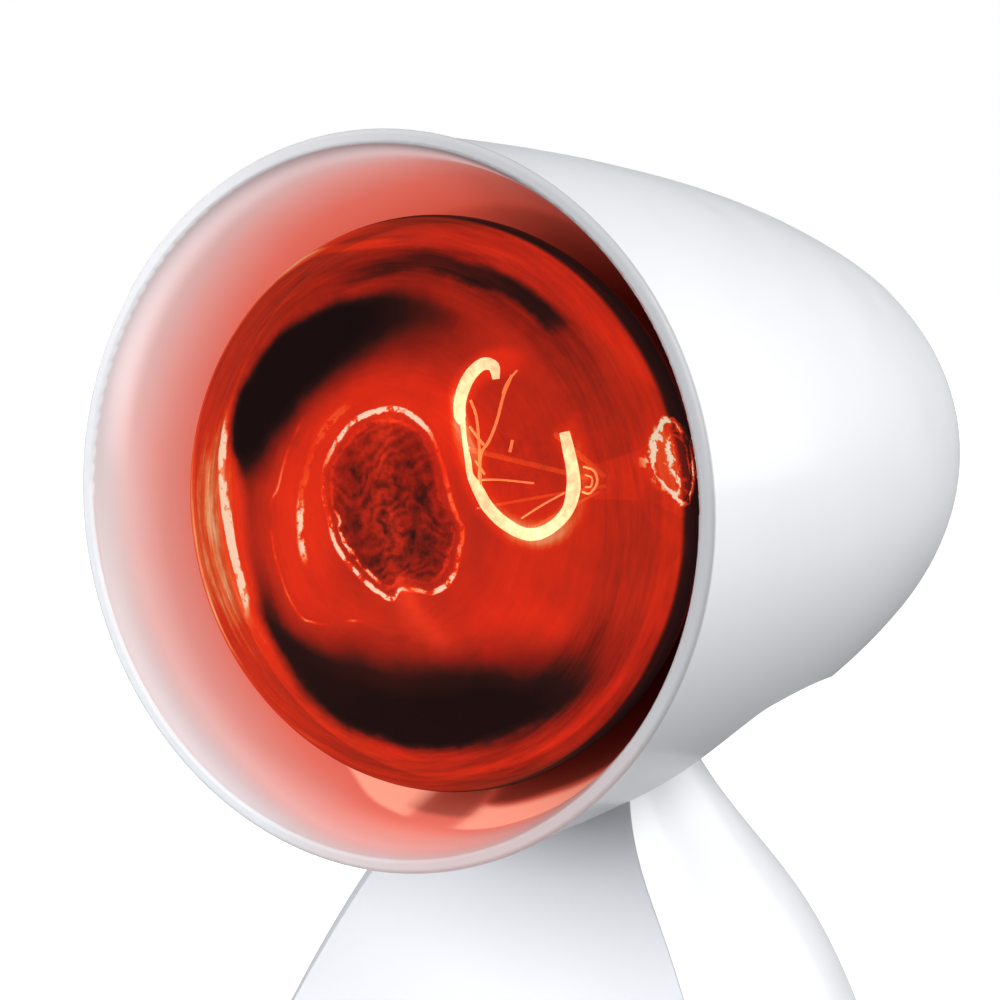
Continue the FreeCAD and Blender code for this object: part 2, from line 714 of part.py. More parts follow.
def lampholder_screws():
    """Two screws through the floor of the lampholder into nuts behind the yoke."""
    pieces = []
    for side in (-1, 1):
        floor = lamp_at(holder_rear - holder_floor, 0) + V(0, 0, side * holder_screw_span)
        length = holder_floor + bracket_thickness + nut_thickness + 0.7
        head = rod(0.75 * small_screw, floor, V(0, -1, 0), 0.1)
        pieces.append(head.fuse(rod(small_screw / 2, floor, V(0, 1, 0), length)))
    return pieces


def hexagon(radius, thickness, start, direction):
    """Hexagon prism with a flat-to-flat size of twice the radius."""
    corner = radius / math.cos(math.pi / 6)
    across = V(1, 0, 0) if abs(direction.x) < 0.5 else V(0, 0, 1)
    up = direction.cross(across)
    points = []
    for i in range(6):
        a = math.radians(60 * i)
        points.append(start + across * (corner * math.cos(a)) + up * (corner * math.sin(a)))
    return Part.Face(Part.Wire(polyline(points))).extrude(direction * thickness)


def lampholder_nuts():
    """Nuts of the lampholder's screws."""
    nuts = []
    for side in (-1, 1):
        start = lamp_at(holder_rear + bracket_thickness, 0) + V(0, 0, side * holder_screw_span)
        nut = hexagon(nut_radius, nut_thickness, start, V(0, 1, 0))
        nuts.append(nut.cut(rod(small_screw / 2, start, V(0, 1, 0), nut_thickness)))
    return nuts


def ear_screws():
    """Two screws that hold the liner's flange and the yoke to the housing's bosses."""
    top = rim_y + ear_station - liner_wall - 0.4 * small_head
    return [screw(V(side * ear_span, top, lamp_z), V(0, 1, 0), 12.0) for side in (-1, 1)]


# ---------------------------------------------------------------- tilt joint
def knuckle_screw_places():
    """The two screws between the roof of the relief and the knuckle."""
    return [pivot_y + step for step in knuckle_screw_steps]


def tilt_knuckle():
    """Stem and eye of the head's half of the tilt joint."""
    pivot = V(0, pivot_y, pivot_z)
    half = knuckle_width / 2
    eye = rod(knuckle_eye_radius, pivot - V(half, 0, 0), V(1, 0, 0), knuckle_width)
    front = pivot_y - knuckle_front
    stem = block((-half, half), (front, front + knuckle_stem), (pivot_z, pivot_z + pivot_drop / 2))
    solid = eye.fuse(stem).common(relief_prism(0))
    solid = solid.cut(rod(pin_diameter / 2 + pin_fit, pivot - V(half + 1, 0, 0), V(1, 0, 0), knuckle_width + 2))
    for y in knuckle_screw_places():
        solid = solid.cut(rod(small_screw / 2, V(0, y, pivot_z + pin_diameter / 2 + 1.5), V(0, 0, 1), 20))
    return solid.removeSplitter()


def roof_inside(y):
    """Height of the inner face of the relief's roof at a place along the head."""
    corner, corner_radius, roof, roof_radius = relief_points(-relief_wall)
    return roof.z + math.sqrt(roof_radius ** 2 - (y - roof.y) ** 2)


def knuckle_screws():
    """Screws driven down through the roof of the relief into the knuckle."""
    solids = []
    for y in knuckle_screw_places():
        head_height = 0.4 * small_head
        top = roof_inside(y + small_head / 2) + head_height + 0.05
        solids.append(screw(V(0, y, top), V(0, 0, -1), knuckle_screw_grip + relief_wall))
    return solids


def detent_disc():
    """Notched steel sector on the side of the knuckle."""
    pivot = V(knuckle_width / 2, pivot_y, pivot_z)
    disc = rod(detent_radius, pivot, V(1, 0, 0), detent_thickness)
    hub = rod(knuckle_eye_radius, pivot, V(1, 0, 0), detent_thickness)
    corner_reach = 3 * detent_radius
    wedge = [V(0, pivot_y, pivot_z)]
    for angle in (-90 - sector_margin, -90, -90 + tilt_range + sector_margin):
        wedge.append(on_circle(V(0, pivot_y, pivot_z), corner_reach, angle))
    sector = disc.common(extrude_across(polyline(wedge), mouth_radius))
    solid = hub.fuse(sector)
    for stop in range(tilt_stops):
        place = on_circle(pivot, detent_radius + notch_offset, -90 + stop * tilt_step)
        place.x = pivot.x - 1
        solid = solid.cut(rod(notch_radius, place, V(1, 0, 0), detent_thickness + 2))
    solid = solid.cut(rod(pin_diameter / 2 + pin_fit, pivot - V(1, 0, 0), V(1, 0, 0), detent_thickness + 2))
    return solid.removeSplitter()


def hinge_bracket():
    """U-shaped steel bracket in the neck of the foot: two cheeks and a base with ears."""
    pivot = V(0, pivot_y, pivot_z)
    low = bracket_base_top - cheek_thickness
    cheeks = []
    for x in ((-cheek_inner_left - cheek_thickness, -cheek_inner_left),
              (cheek_inner_right, cheek_inner_right + cheek_thickness)):
        start = V(x[0], pivot_y, pivot_z)
        cheek = rod(knuckle_eye_radius, start, V(1, 0, 0), cheek_thickness)
        plate = block(x, (pivot_y - knuckle_eye_radius, pivot_y + knuckle_eye_radius), (low, pivot_z))
        cheeks.append(cheek.fuse(plate))
    base = block((-bracket_half_width, bracket_half_width), (pivot_y - knuckle_eye_radius, pivot_y + knuckle_eye_radius), (low, bracket_base_top))
    tail = block((spring_x - 0.8 * spring_width, spring_x + 0.8 * spring_width),
                 (pivot_y, pivot_y + bracket_tail), (low, bracket_base_top))
    solid = base.fuse(cheeks + [tail])
    solid = solid.cut(rod(pin_diameter / 2 + pin_fit, pivot - V(30, 0, 0), V(1, 0, 0), 60))
    for x in (-bracket_screw_x, bracket_screw_x):
        solid = solid.cut(rod(small_screw / 2, V(x, pivot_y, low - 1), V(0, 0, 1), 4))
    return solid.cut(rod(spring_screw_size / 2, V(spring_x, spring_screw_y, low - 1), V(0, 0, 1), 4)).removeSplitter()


def bracket_screws():
    """Screws up through the shelf into the bracket's base."""
    top = shelf_height - 0.4 * small_head
    return [screw(V(x, pivot_y, top), V(0, 0, 1), shelf_thickness + cheek_thickness + 1.5)
            for x in (-bracket_screw_x, bracket_screw_x)]


def pivot_pin():
    """Headed pin with a groove for the clip."""
    start = V(-cheek_inner_left - cheek_thickness, pivot_y, pivot_z)
    length = cheek_inner_left + cheek_inner_right + 2 * cheek_thickness + pin_end
    pin = rod(pin_diameter / 2, start, V(1, 0, 0), length)
    head = rod(0.86 * pin_diameter, start - V(pin_head, 0, 0), V(1, 0, 0), pin_head)
    groove_x = cheek_inner_right + cheek_thickness + 0.3
    groove = tube(pin_diameter, pin_diameter / 2 - 0.5, V(groove_x, pivot_y, pivot_z), V(1, 0, 0), clip_thickness + 0.1)
    return pin.fuse(head).cut(groove).removeSplitter()


def pivot_clip():
    """Retaining clip in the pin's groove."""
    groove_x = cheek_inner_right + cheek_thickness + 0.35
    place = V(groove_x, pivot_y, pivot_z)
    ring = tube(0.9 * pin_diameter, pin_diameter / 2 - 0.45, place, V(1, 0, 0), clip_thickness)
    mouth = block((groove_x - 1, groove_x + 2), (pivot_y - 1.7, pivot_y + 1.7), (pivot_z - 9, pivot_z))
    return ring.cut(mouth)


def friction_washers():
    """Nylon washers between the knuckle, the notched sector and the cheeks."""
    solids = []
    for x in (washer_gap - cheek_inner_left, cheek_inner_right - washer_thickness - washer_gap):
        start = V(x, pivot_y, pivot_z)
        solids.append(tube(washer_radius, pin_diameter / 2 + pin_fit, start, V(1, 0, 0), washer_thickness))
    return solids


def strip(points, thickness, half_width, middle):
    """Bent strip of sheet along points of the middle plane; the thickness lies to its left."""
    left = []
    for i, point in enumerate(points):
        before = point - points[i - 1] if i else points[1] - points[0]
        after = points[i + 1] - point if i + 1 < len(points) else point - points[i - 1]
        before.normalize()
        after.normalize()
        normal = V(0, -before.z - after.z, before.y + after.y)
        normal.normalize()
        along = V(0, -before.z, before.y)
        left.append(point + normal * (thickness / normal.dot(along)))
    return extrude_across(polyline(points + left[::-1]), half_width, middle)


def detent_spring():
    """Leaf spring whose bead drops into the notches."""
    base = bracket_base_top + 0.02
    tip_z = pivot_z - detent_radius - notch_offset - notch_radius + 0.15
    points = [V(0, spring_screw_y + 3.0, base), V(0, spring_screw_y - 3.0, base),
              V(0, pivot_y + 5.0, base + 2.4), V(0, pivot_y + 1.2, tip_z - 1.9),
              V(0, pivot_y, tip_z - 0.5), V(0, pivot_y - 1.2, tip_z - 1.9), V(0, pivot_y - 4.0, tip_z - 3.2)]
    leaf = strip(points, -spring_thickness, spring_width / 2, spring_x)
    bead_z = pivot_z - detent_radius - notch_offset
    bead = rod(notch_radius - 0.15, V(spring_x - spring_width / 2, pivot_y, bead_z), V(1, 0, 0), spring_width)
    low = block((spring_x - spring_width, spring_x + spring_width), (pivot_y - 3, pivot_y + 3),
                (base, bead_z - notch_offset))
    leaf = leaf.fuse(bead.common(low))
    hole = rod(spring_screw_size / 2 + screw_fit, V(spring_x, spring_screw_y, base - 2), V(0, 0, 1), 4)
    return leaf.cut(hole).removeSplitter()


def spring_screw():
    """Screw of the leaf spring."""
    top = bracket_base_top + spring_thickness + 0.4 * spring_screw_head + 0.05
    grip = spring_thickness + cheek_thickness - 0.1
    return screw(V(spring_x, spring_screw_y, top), V(0, 0, -1), grip, spring_screw_size, spring_screw_head)


# ---------------------------------------------------------------- internal wiring
def wire_grommet():
    """Silicone grommet where the wires pass the roof of the relief."""
    corner, corner_radius, roof, low_radius = relief_points(0)
    low = roof.z + math.sqrt(low_radius ** 2 - (pivot_y - roof.y) ** 2)
    high = roof_inside(pivot_y)
    body = rod(grommet_hole - 0.05, V(grommet_x, pivot_y, low - 0.3), V(0, 0, 1), high - low + 1.5)
    flange_radius = grommet_hole + grommet_flange
    flange = rod(flange_radius, V(grommet_x, pivot_y, roof_inside(pivot_y + flange_radius) + 0.03), V(0, 0, 1), 1.2)
    bore = rod(sleeve_diameter / 2 + 0.05, V(grommet_x, pivot_y, low - 2), V(0, 0, 1), 12)
    return body.fuse(flange).cut(bore).removeSplitter()


def hinge_sleeve():
    """Fibreglass sleeve with the two wires, from the grommet through the crown into the neck."""
    top = V(grommet_x, pivot_y, roof_inside(pivot_y) + 1.2)
    return rod(sleeve_diameter / 2, V(grommet_x, pivot_y, sleeve_low), V(0, 0, 1), top.z - sleeve_low)


def head_wires():
    """Two insulated wires from the sleeve, under the lampholder, to its rear face."""
    start_z = roof_inside(pivot_y) + grommet_flange
    low_z = lamp_z - wire_entry
    rear = rim_y + holder_rear
    solids = []
    for side in (-1, 1):
        x = grommet_x + side * wire_spacing / 2
        out_x = x - wire_spacing
        end_x = side * wire_entry
        points = [V(x, pivot_y, start_z), V(x, pivot_y, start_z + wire_rise),
                  V(out_x, rear - 2 * wire_bow, lamp_z - wire_drop), V(end_x, rear + wire_bow, low_z - wire_bow),
                  V(end_x, rear + wire_bow, low_z), V(end_x, rear + terminal_play, low_z)]
        solids.append(lead(points, wire_diameter))
    return solids


# ---------------------------------------------------------------- foot
def foot_section(height, half_width, ridge, rear, hollow, inset):
    """Plan of the foot at a height: a convex rear arc and a concave front arc that meet at two ridges."""
    reach = rear - ridge
    rear_radius = (reach ** 2 + half_width ** 2) / (2 * reach)
    rear_centre = rear - rear_radius
    front_radius = (hollow ** 2 + half_width ** 2) / (2 * hollow)
    front_centre = ridge + hollow - front_radius
    r1 = rear_radius - inset
    r2 = front_radius + inset
    gap = rear_centre - front_centre
    along = (gap ** 2 + r2 ** 2 - r1 ** 2) / (2 * gap)
    corner_x = math.sqrt(r2 ** 2 - along ** 2)
    corner = front_centre + along
    right = V(corner_x, rim_y + corner, height)
    left = V(-corner_x, rim_y + corner, height)
    back = Part.Arc(right, V(0, rim_y + rear_centre + r1, height), left).toShape()
    front = Part.Arc(left, V(0, rim_y + front_centre + r2, height), right).toShape()
    return Part.Wire([back, front])


def foot_body(inset, lowest=None):
    """Loft of the foot's plans."""
    sections = []
    for height, half_width, ridge, rear, hollow in foot_plans:
        level = lowest if lowest is not None and height == foot_clearance else height
        sections.append(foot_section(level, half_width, ridge, rear, hollow, inset))
    body = Part.makeLoft(sections, True, False)
    above = bullet(-running_gap - inset).cut(crown_prism(inset))
    return body.cut(above)


def foot_splitter(allowance):
    """Everything in front of the parting surface between front cover and rear shell."""
    sections = []
    for height, half_width, ridge, rear, hollow in foot_plans:
        depth = hollow + foot_wall + cover_bow
        edge = ridge + cover_joint / 2 - allowance
        middle = edge + depth
        side = half_width + cover_joint / 4
        far = mouth_radius / 2
        left = V(-side, rim_y + edge, height)
        right = V(side, rim_y + edge, height)
        back = Part.Arc(right, V(0, rim_y + middle, height), left).toShape()
        outer = [left, V(-side - far, rim_y + edge, height), V(-side - far, rim_y - far, height),
                 V(side + far, rim_y - far, height), V(side + far, rim_y + edge, height), right]
        sections.append(Part.Wire([back] + polyline(outer, closed=False)))
    return Part.makeLoft(sections, True, False)


def front_cover(shell):
    """Front cover of the foot: the hollowed face between the two ridges."""
    cover = shell.common(foot_splitter(cover_joint / 2))
    cover = max(cover.Solids, key=lambda s: s.Volume)
    inside = foot_body(foot_wall / 2)
    for x, station in cover_post_places:
        place = V(x, rim_y + station, plate_top + 0.05)
        post = rod(post_radius, place, V(0, 0, 1), cover_post_length)
        cover = cover.fuse(post.common(inside))
        cover = cover.cut(rod(small_screw / 2, place - V(0, 0, 1), V(0, 0, 1), post_hole_depth + 1))
    return cover.removeSplitter()


def rear_shell(shell, room):
    """Rear shell of the foot with its crown, shelf, screw posts and switch panel."""
    solid = shell.cut(foot_splitter(-cover_joint / 2))
    solid = max(solid.Solids, key=lambda s: s.Volume)
    inside = room.cut(foot_splitter(-cover_joint / 2 - 1.0))
    shelf = block((-mouth_radius, mouth_radius), stations(0, head_length), (shelf_height, shelf_height + shelf_thickness))
    shelf = shelf.common(inside)
    for x in (-bracket_screw_x, bracket_screw_x):
        shelf = shelf.cut(rod(small_screw / 2 + screw_fit, V(x, pivot_y, shelf_height), V(0, 0, 1), shelf_thickness))
    wire_hole = V(grommet_x, pivot_y + shelf_hole_back, shelf_height)
    shelf = shelf.cut(rod(shelf_hole_radius, wire_hole, V(0, 0, 1), shelf_thickness))
    pieces = [shelf]
    for x, station in post_places:
        post = rod(post_radius, V(x, rim_y + station, plate_top + 0.05), V(0, 0, 1), shelf_height)
        pieces.append(post.common(foot_body(foot_wall / 2)))
    half = bezel_width / 2 + panel_margin
    tall = bezel_length / 2 + panel_margin
    panel = block((-half, half), stations(panel_station - foot_wall, head_length),
                  (switch_height - tall, switch_height + tall)).common(foot_body(foot_wall / 2))
    pieces.append(panel)
    solid = solid.fuse(pieces)
    recess = block((-half + foot_wall, half - foot_wall), stations(panel_station, head_length),
                   (switch_height - tall + foot_wall, switch_height + tall - foot_wall))
    cutout = block((-switch_body_width / 2 - 0.1, switch_body_width / 2 + 0.1), stations(panel_station - 10, head_length),
                   (switch_height - switch_body_length / 2 - 0.1, switch_height + switch_body_length / 2 + 0.1))
    inlet = rod(inlet_radius, V(0, rim_y + foot_plans[0][3] - 12, inlet_height), V(0, 1, 0), 20)
    solid = solid.cut([recess, cutout, inlet])
    for x, station in post_places:
        solid = solid.cut(rod(small_screw / 2, V(x, rim_y + station, plate_top - 1), V(0, 0, 1), post_hole_depth + 1))
    front_y = pivot_y - slot_front
    rear_y = pivot_y + slot_rear
    top_z = pivot_z + 2 * knuckle_eye_radius
    slot = [V(0, front_y, pivot_z - 1), V(0, front_y, top_z), V(0, rear_y, top_z), V(0, rear_y, pivot_z - 4),
            V(0, (pivot_y + rear_y) / 2, pivot_z - 4)]
    solid = solid.cut(extrude_across(polyline(slot), knuckle_width / 2 + slot_play))
    solid = solid.cut(extrude_across(polyline(slot), sleeve_diameter / 2 + 2 * slot_play, grommet_x))
    return solid.removeSplitter()


def base_plate():
    """Bottom plate inside the rims of the two shells."""
    height, half_width, ridge, rear, hollow = foot_plans[0]
    outline = foot_section(height, half_width, ridge, rear, hollow, foot_wall + plate_gap + shell_draft)
    plate = Part.Face(outline).extrude(V(0, 0, plate_thickness))
    for x, station in post_places + cover_post_places:
        place = V(x, rim_y + station, height - 1)
        plate = plate.cut(rod(small_screw / 2 + screw_fit, place, V(0, 0, 1), 9))
        plate = plate.cut(rod(small_head / 2 + 2 * screw_fit, place, V(0, 0, 1), 1 + plate_screw_seat))
    for x, station in pad_places:
        plate = plate.cut(rod(pad_radius + 0.1, V(x, rim_y + station, 0), V(0, 0, 1), pad_height))
    return plate


def rubber_pads():
    """Four rubber pads let into the base plate."""
    return [rod(pad_radius, V(x, rim_y + station, 0), V(0, 0, 1), pad_height) for x, station in pad_places]


def plate_screws():
    """Screws up through the base plate into the rear shell's posts."""
    top = foot_clearance + plate_screw_seat - 0.4 * small_head
    return [screw(V(x, rim_y + station, top), V(0, 0, 1), plate_screw_length)
            for x, station in post_places + cover_post_places]


# ---------------------------------------------------------------- switch, terminals, inlet
def switch_at(depth, height):
    """Point in the middle plane, from the switch's centre on the outer face of the panel."""
    return V(0, rim_y + panel_station + depth, switch_height + height)


def switch_body():
    """Housing of the rocker switch, with its bezel."""
    body = block((-switch_body_width / 2, switch_body_width / 2), stations(panel_station - switch_body_depth, panel_station),
                 (switch_height - switch_body_length / 2, switch_height + switch_body_length / 2))
    bezel = block((-bezel_width / 2, bezel_width / 2), stations(panel_station, panel_station + bezel_thickness),
                  (switch_height - bezel_length / 2, switch_height + bezel_length / 2))
    well_x = rocker_width / 2 + rocker_play
    well_z = rocker_length / 2 + 1.5 * rocker_play
    well = block((-well_x, well_x), stations(panel_station - well_depth, head_length),
                 (switch_height - well_z, switch_height + well_z))
    half = rocker_width / 2 + rocker_stub + rocker_play
    axle = rod(rocker_stub_radius + 0.1, switch_at(rocker_axis_depth, 0) - V(half, 0, 0), V(1, 0, 0), 2 * half)
    return body.fuse(bezel).cut(well).cut(axle).removeSplitter()


def switch_rocker():
    """Rocker with its two finger faces, pressed in at the top, and its axle stubs."""
    centre = switch_at(rocker_axis_depth, 0)
    drum = rod(rocker_length / 2, centre - V(rocker_width / 2, 0, 0), V(1, 0, 0), rocker_width)
    a = math.radians(rocker_angle)
    face = centre.y + rocker_face + rocker_length * math.sin(a)
    back = centre.y - rocker_back
    high = centre.z + rocker_length * math.cos(a)
    low = centre.z - rocker_length * math.cos(a)
    outline = [V(0, centre.y + rocker_face, centre.z), V(0, face, high), V(0, back, high), V(0, back, low),
               V(0, face, low)]
    solid = drum.common(extrude_across(polyline(outline), rocker_width / 2))
    stub_end = rocker_width / 2 + rocker_stub
    solid = solid.fuse(rod(rocker_stub_radius, centre - V(stub_end, 0, 0), V(1, 0, 0), 2 * stub_end))
    solid.rotate(centre, V(1, 0, 0), rocker_angle)
    return solid.removeSplitter()


def switch_terminals():
    """Two flat tabs at the back of the switch."""
    tabs = []
    rear = panel_station - switch_body_depth
    for side in (-1, 1):
        z = switch_height + side * tab_span
        tabs.append(block((-tab_width / 2, tab_width / 2), stations(rear - tab_length, rear),
                          (z - tab_thickness / 2, z + tab_thickness / 2)))
    return tabs


def terminal_block():
    """Two-way terminal block on the base plate."""
    y = stations(terminal_station - terminal_length / 2, terminal_station + terminal_length / 2)
    body = block((-terminal_width / 2, terminal_width / 2), y, (plate_top, plate_top + terminal_height))
    for x in (-terminal_span, terminal_span):
        bore = V(x, y[0], plate_top + sleeve_height)
        shaft = V(x, rim_y + terminal_station, plate_top + sleeve_height)
        body = body.cut(rod(sleeve_outer + terminal_play, bore, V(0, 1, 0), terminal_length))
        body = body.cut(rod(sleeve_outer - 3 * terminal_play, shaft, V(0, 0, 1), terminal_height))
    return body


def terminal_sleeves():
    """Brass sleeves of the terminal block."""
    front = rim_y + terminal_station - sleeve_length / 2
    return [tube(sleeve_outer, sleeve_inner, V(x, front, plate_top + sleeve_height), V(0, 1, 0), sleeve_length)
            for x in (-terminal_span, terminal_span)]


def foot_wires():
    """Wires from the hinge's sleeve to the terminal block, by way of the shelf's hole."""
    solids = []
    for side in (-1, 1):
        x = grommet_x + side * wire_spacing / 2
        end_x = side * terminal_span
        end_y = rim_y + terminal_station - terminal_length / 2
        points = [V(x, pivot_y, sleeve_low - terminal_play), V(x, pivot_y, sleeve_low - foot_wire_bend),
                  V(x, pivot_y + shelf_hole_back, shelf_height + shelf_thickness + wire_diameter),
                  V(x, pivot_y + shelf_hole_back, shelf_height - foot_wire_low),
                  V(end_x, end_y - foot_wire_bow, plate_top + foot_wire_bow),
                  V(end_x, end_y - foot_wire_lead, plate_top + sleeve_height),
                  V(end_x, end_y + wire_diameter, plate_top + sleeve_height)]
        solids.append(lead(points, wire_diameter))
    return solids


def cord_bushing(shell):
    """Rubber bushing moulded to the wall of the shell, in the inlet at the rear of the foot."""
    wall_y = rim_y + foot_plans[1][3] - foot_wall
    inside = V(0, wall_y - 1.5 * bushing_flange, inlet_height)
    outside = V(0, wall_y + foot_wall + terminal_play, inlet_height)
    body = rod(inlet_radius - 2 * terminal_play, inside, V(0, 1, 0), foot_wall + 2 * bushing_flange)
    flange = rod(inlet_radius + bushing_flange, inside, V(0, 1, 0), 1.25 * bushing_flange)
    collar = Part.makeCone(inlet_radius + bushing_flange, inlet_radius - bushing_flange / 2, 2 * bushing_flange,
                           outside, V(0, 1, 0))
    solid = body.fuse([flange, collar])
    return solid.cut(rod(cord_radius, inside - V(0, 1, 0), V(0, 1, 0), head_length)).cut(shell).removeSplitter()


# ---------------------------------------------------------------- build
def main():
    shell_outer = foot_body(0)
    room = foot_body(foot_wall, foot_clearance - 1.0)
    shell = shell_outer.cut(room)

    save("head_housing", housing())
    save("mouth_liner", liner())
    save("bulb_glass", bulb_glass())
    save("bulb_cap", bulb_cap())
    save("bulb_insulator", bulb_insulator())
    save("bulb_contact", bulb_contact())
    save("bulb_stem", bulb_stem())
    save("bulb_leads", bulb_leads())
    save("bulb_filament", bulb_filament())
    save("lampholder_body", lampholder())
    save("lampholder_shell", lampholder_shell())
    save("lampholder_contact", lampholder_contact())
    save("lampholder_bracket", lampholder_bracket())
    save("lampholder_screws", lampholder_screws())
    save("lampholder_nuts", lampholder_nuts())
    save("liner_screws", ear_screws())
    save("tilt_knuckle", tilt_knuckle())
    save("knuckle_screws", knuckle_screws())
    save("detent_disc", detent_disc())
    save("wire_grommet", wire_grommet())
    save("head_wires", head_wires())
    save("hinge_sleeve", hinge_sleeve())
    save("hinge_bracket", hinge_bracket())
    save("bracket_screws", bracket_screws())
    save("pivot_pin", pivot_pin())
    save("pivot_clip", pivot_clip())
    save("friction_washers", friction_washers())
    save("detent_spring", detent_spring())
    save("spring_screw", spring_screw())
    save("foot_front_cover", front_cover(shell))
    rear = rear_shell(shell, room)
    save("foot_rear_shell", rear)
    save("base_plate", base_plate())
    save("rubber_pads", rubber_pads())
    save("base_screws", plate_screws())
    save("switch_body", switch_body())
    save("switch_rocker", switch_rocker())
    save("switch_tabs", switch_terminals())
    save("terminal_block", terminal_block())
    save("terminal_sleeves", terminal_sleeves())
    save("foot_wires", foot_wires())
    save("cord_bushing", cord_bushing(rear))


main()
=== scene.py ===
"""Looks of an infrared heat therapy lamp: laid out as a Blender add-on, run as a script."""
import math

import bpy
from bpy.props import FloatProperty, FloatVectorProperty, IntProperty, PointerProperty
from mathutils import Matrix, Vector


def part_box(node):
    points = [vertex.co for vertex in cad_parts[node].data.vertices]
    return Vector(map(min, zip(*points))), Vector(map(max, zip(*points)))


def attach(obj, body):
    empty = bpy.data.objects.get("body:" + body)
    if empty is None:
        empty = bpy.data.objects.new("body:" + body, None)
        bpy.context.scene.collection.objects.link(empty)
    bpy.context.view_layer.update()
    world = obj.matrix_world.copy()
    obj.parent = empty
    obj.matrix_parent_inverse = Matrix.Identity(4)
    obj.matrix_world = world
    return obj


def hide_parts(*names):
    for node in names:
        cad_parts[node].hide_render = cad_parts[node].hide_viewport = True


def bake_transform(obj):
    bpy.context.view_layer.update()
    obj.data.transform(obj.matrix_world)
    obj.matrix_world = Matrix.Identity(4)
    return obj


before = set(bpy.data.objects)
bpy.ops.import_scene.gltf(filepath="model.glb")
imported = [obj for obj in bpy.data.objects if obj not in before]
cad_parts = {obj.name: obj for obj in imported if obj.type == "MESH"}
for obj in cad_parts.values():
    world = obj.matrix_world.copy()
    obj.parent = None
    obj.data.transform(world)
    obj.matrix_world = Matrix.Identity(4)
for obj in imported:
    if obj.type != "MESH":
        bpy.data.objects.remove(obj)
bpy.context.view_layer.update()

bl_info = {
    "name": "Infrared heat therapy lamp",
    "version": (1, 0, 0),
    "blender": (4, 5, 0),
    "location": "3D View > Sidebar > Heat Lamp",
    "description": "Builds the looks of an infrared heat therapy lamp round its fixed frame",
    "category": "Object",
}

MM = 0.001
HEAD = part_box("head_housing")
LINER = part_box("mouth_liner")
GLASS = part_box("bulb_glass")
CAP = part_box("bulb_cap")
MOUTH_Y = LINER[0].y
AXIS_Z = (LINER[0].z + LINER[1].z) / 2
LAMP_Z = (GLASS[0].z + GLASS[1].z) / 2


# ---- sizes and colours
class HeatLampSizes(bpy.types.PropertyGroup):
    """Sizes of the pieces that are modelled here"""
    bulb_radius: FloatProperty(
        name="Bulb radius", description="Widest radius of the reflector bulb",
        default=(GLASS[1].x - GLASS[0].x) / 2, unit="LENGTH")
    neck_radius: FloatProperty(
        name="Neck radius", description="Radius of the bulb's neck", default=16.6 * MM, unit="LENGTH")
    dome_radius: FloatProperty(
        name="Dome radius", description="Radius of the bulb's front", default=110 * MM, unit="LENGTH")
    shoulder_radius: FloatProperty(
        name="Shoulder radius", description="Radius between the bulb's front and its reflector",
        default=10 * MM, unit="LENGTH")
    glass_wall: FloatProperty(
        name="Glass wall", description="Thickness of the blown glass", default=0.9 * MM, unit="LENGTH")
    filament_coil: FloatProperty(
        name="Filament coil", description="Outer radius of the filament's coil", default=0.66 * MM, unit="LENGTH")
    thread_pitch: FloatProperty(
        name="Thread pitch", description="Pitch of the rolled thread of the bulb's cap",
        default=3.63 * MM, unit="LENGTH")
    lens: FloatProperty(name="Lens", description="Focal length of the camera in millimetres", default=126.47)
    steps_round: IntProperty(name="Steps round", description="Faces round a revolved piece", default=144)


class HeatLampColours(bpy.types.PropertyGroup):
    """Colours of the lamp's finishes"""
    shell_white: FloatVectorProperty(
        name="Shell white", description="White plastic of the head and foot", subtype="COLOR",
        default=(0.855, 0.862, 0.885))
    liner_white: FloatVectorProperty(
        name="Liner white", description="White plastic of the mouth", subtype="COLOR",
        default=(0.80, 0.80, 0.815))
    filament_light: FloatVectorProperty(
        name="Filament light", description="Light of the filament", subtype="COLOR",
        default=(1.0, 0.84, 0.66))


# ---- modelling
def deselect():
    """Leave edit mode and select nothing."""
    if bpy.context.object and bpy.context.object.mode != "OBJECT":
        bpy.ops.object.mode_set(mode="OBJECT")
    bpy.ops.object.select_all(action="DESELECT")


def begin(name):
    """Name the new primitive and start to shape it."""
    piece = bpy.context.object
    piece.name = piece.data.name = name
    bpy.ops.object.mode_set(mode="EDIT")
    return piece


def end(piece, smooth=40):
    """Put the piece's place in its mesh and smooth it."""
    if piece.mode != "OBJECT":
        bpy.ops.object.mode_set(mode="OBJECT")
    deselect()
    piece.select_set(True)
    bpy.context.view_layer.objects.active = piece
    bpy.ops.object.transform_apply(location=True, rotation=True, scale=True)
    bpy.ops.object.shade_smooth_by_angle(angle=math.radians(smooth))
    return piece


def outline(name, points):
    """Start a piece from an outline in the middle plane: one point extruded from place to place."""
    deselect()
    start = Vector(points[0])
    bpy.ops.mesh.primitive_plane_add(size=MM, location=start)
    piece = begin(name)
    bpy.ops.mesh.merge(type="CENTER")
    here = start
    for point in points[1:]:
        point = Vector(point)
        bpy.ops.mesh.extrude_region_move(TRANSFORM_OT_translate={"value": point - here})
        here = point
    bpy.ops.mesh.select_all(action="SELECT")
    return piece


def revolve(name, points, sizes):
    """Turn an outline about the bulb's level axis and give it a wall, inwards."""
    piece = outline(name, points)
    bpy.ops.mesh.spin(steps=sizes.steps_round, angle=math.tau, center=(0, 0, LAMP_Z), axis=(0, 1, 0))
    bpy.ops.mesh.select_all(action="SELECT")
    bpy.ops.mesh.remove_doubles(threshold=0.01 * MM)
    bpy.ops.mesh.normals_make_consistent(inside=False)
    end(piece)
    solidify = piece.modifiers.new("wall", "SOLIDIFY")
    solidify.thickness = sizes.glass_wall
    solidify.offset = -1
    bpy.ops.object.modifier_apply(modifier=solidify.name)
    return piece


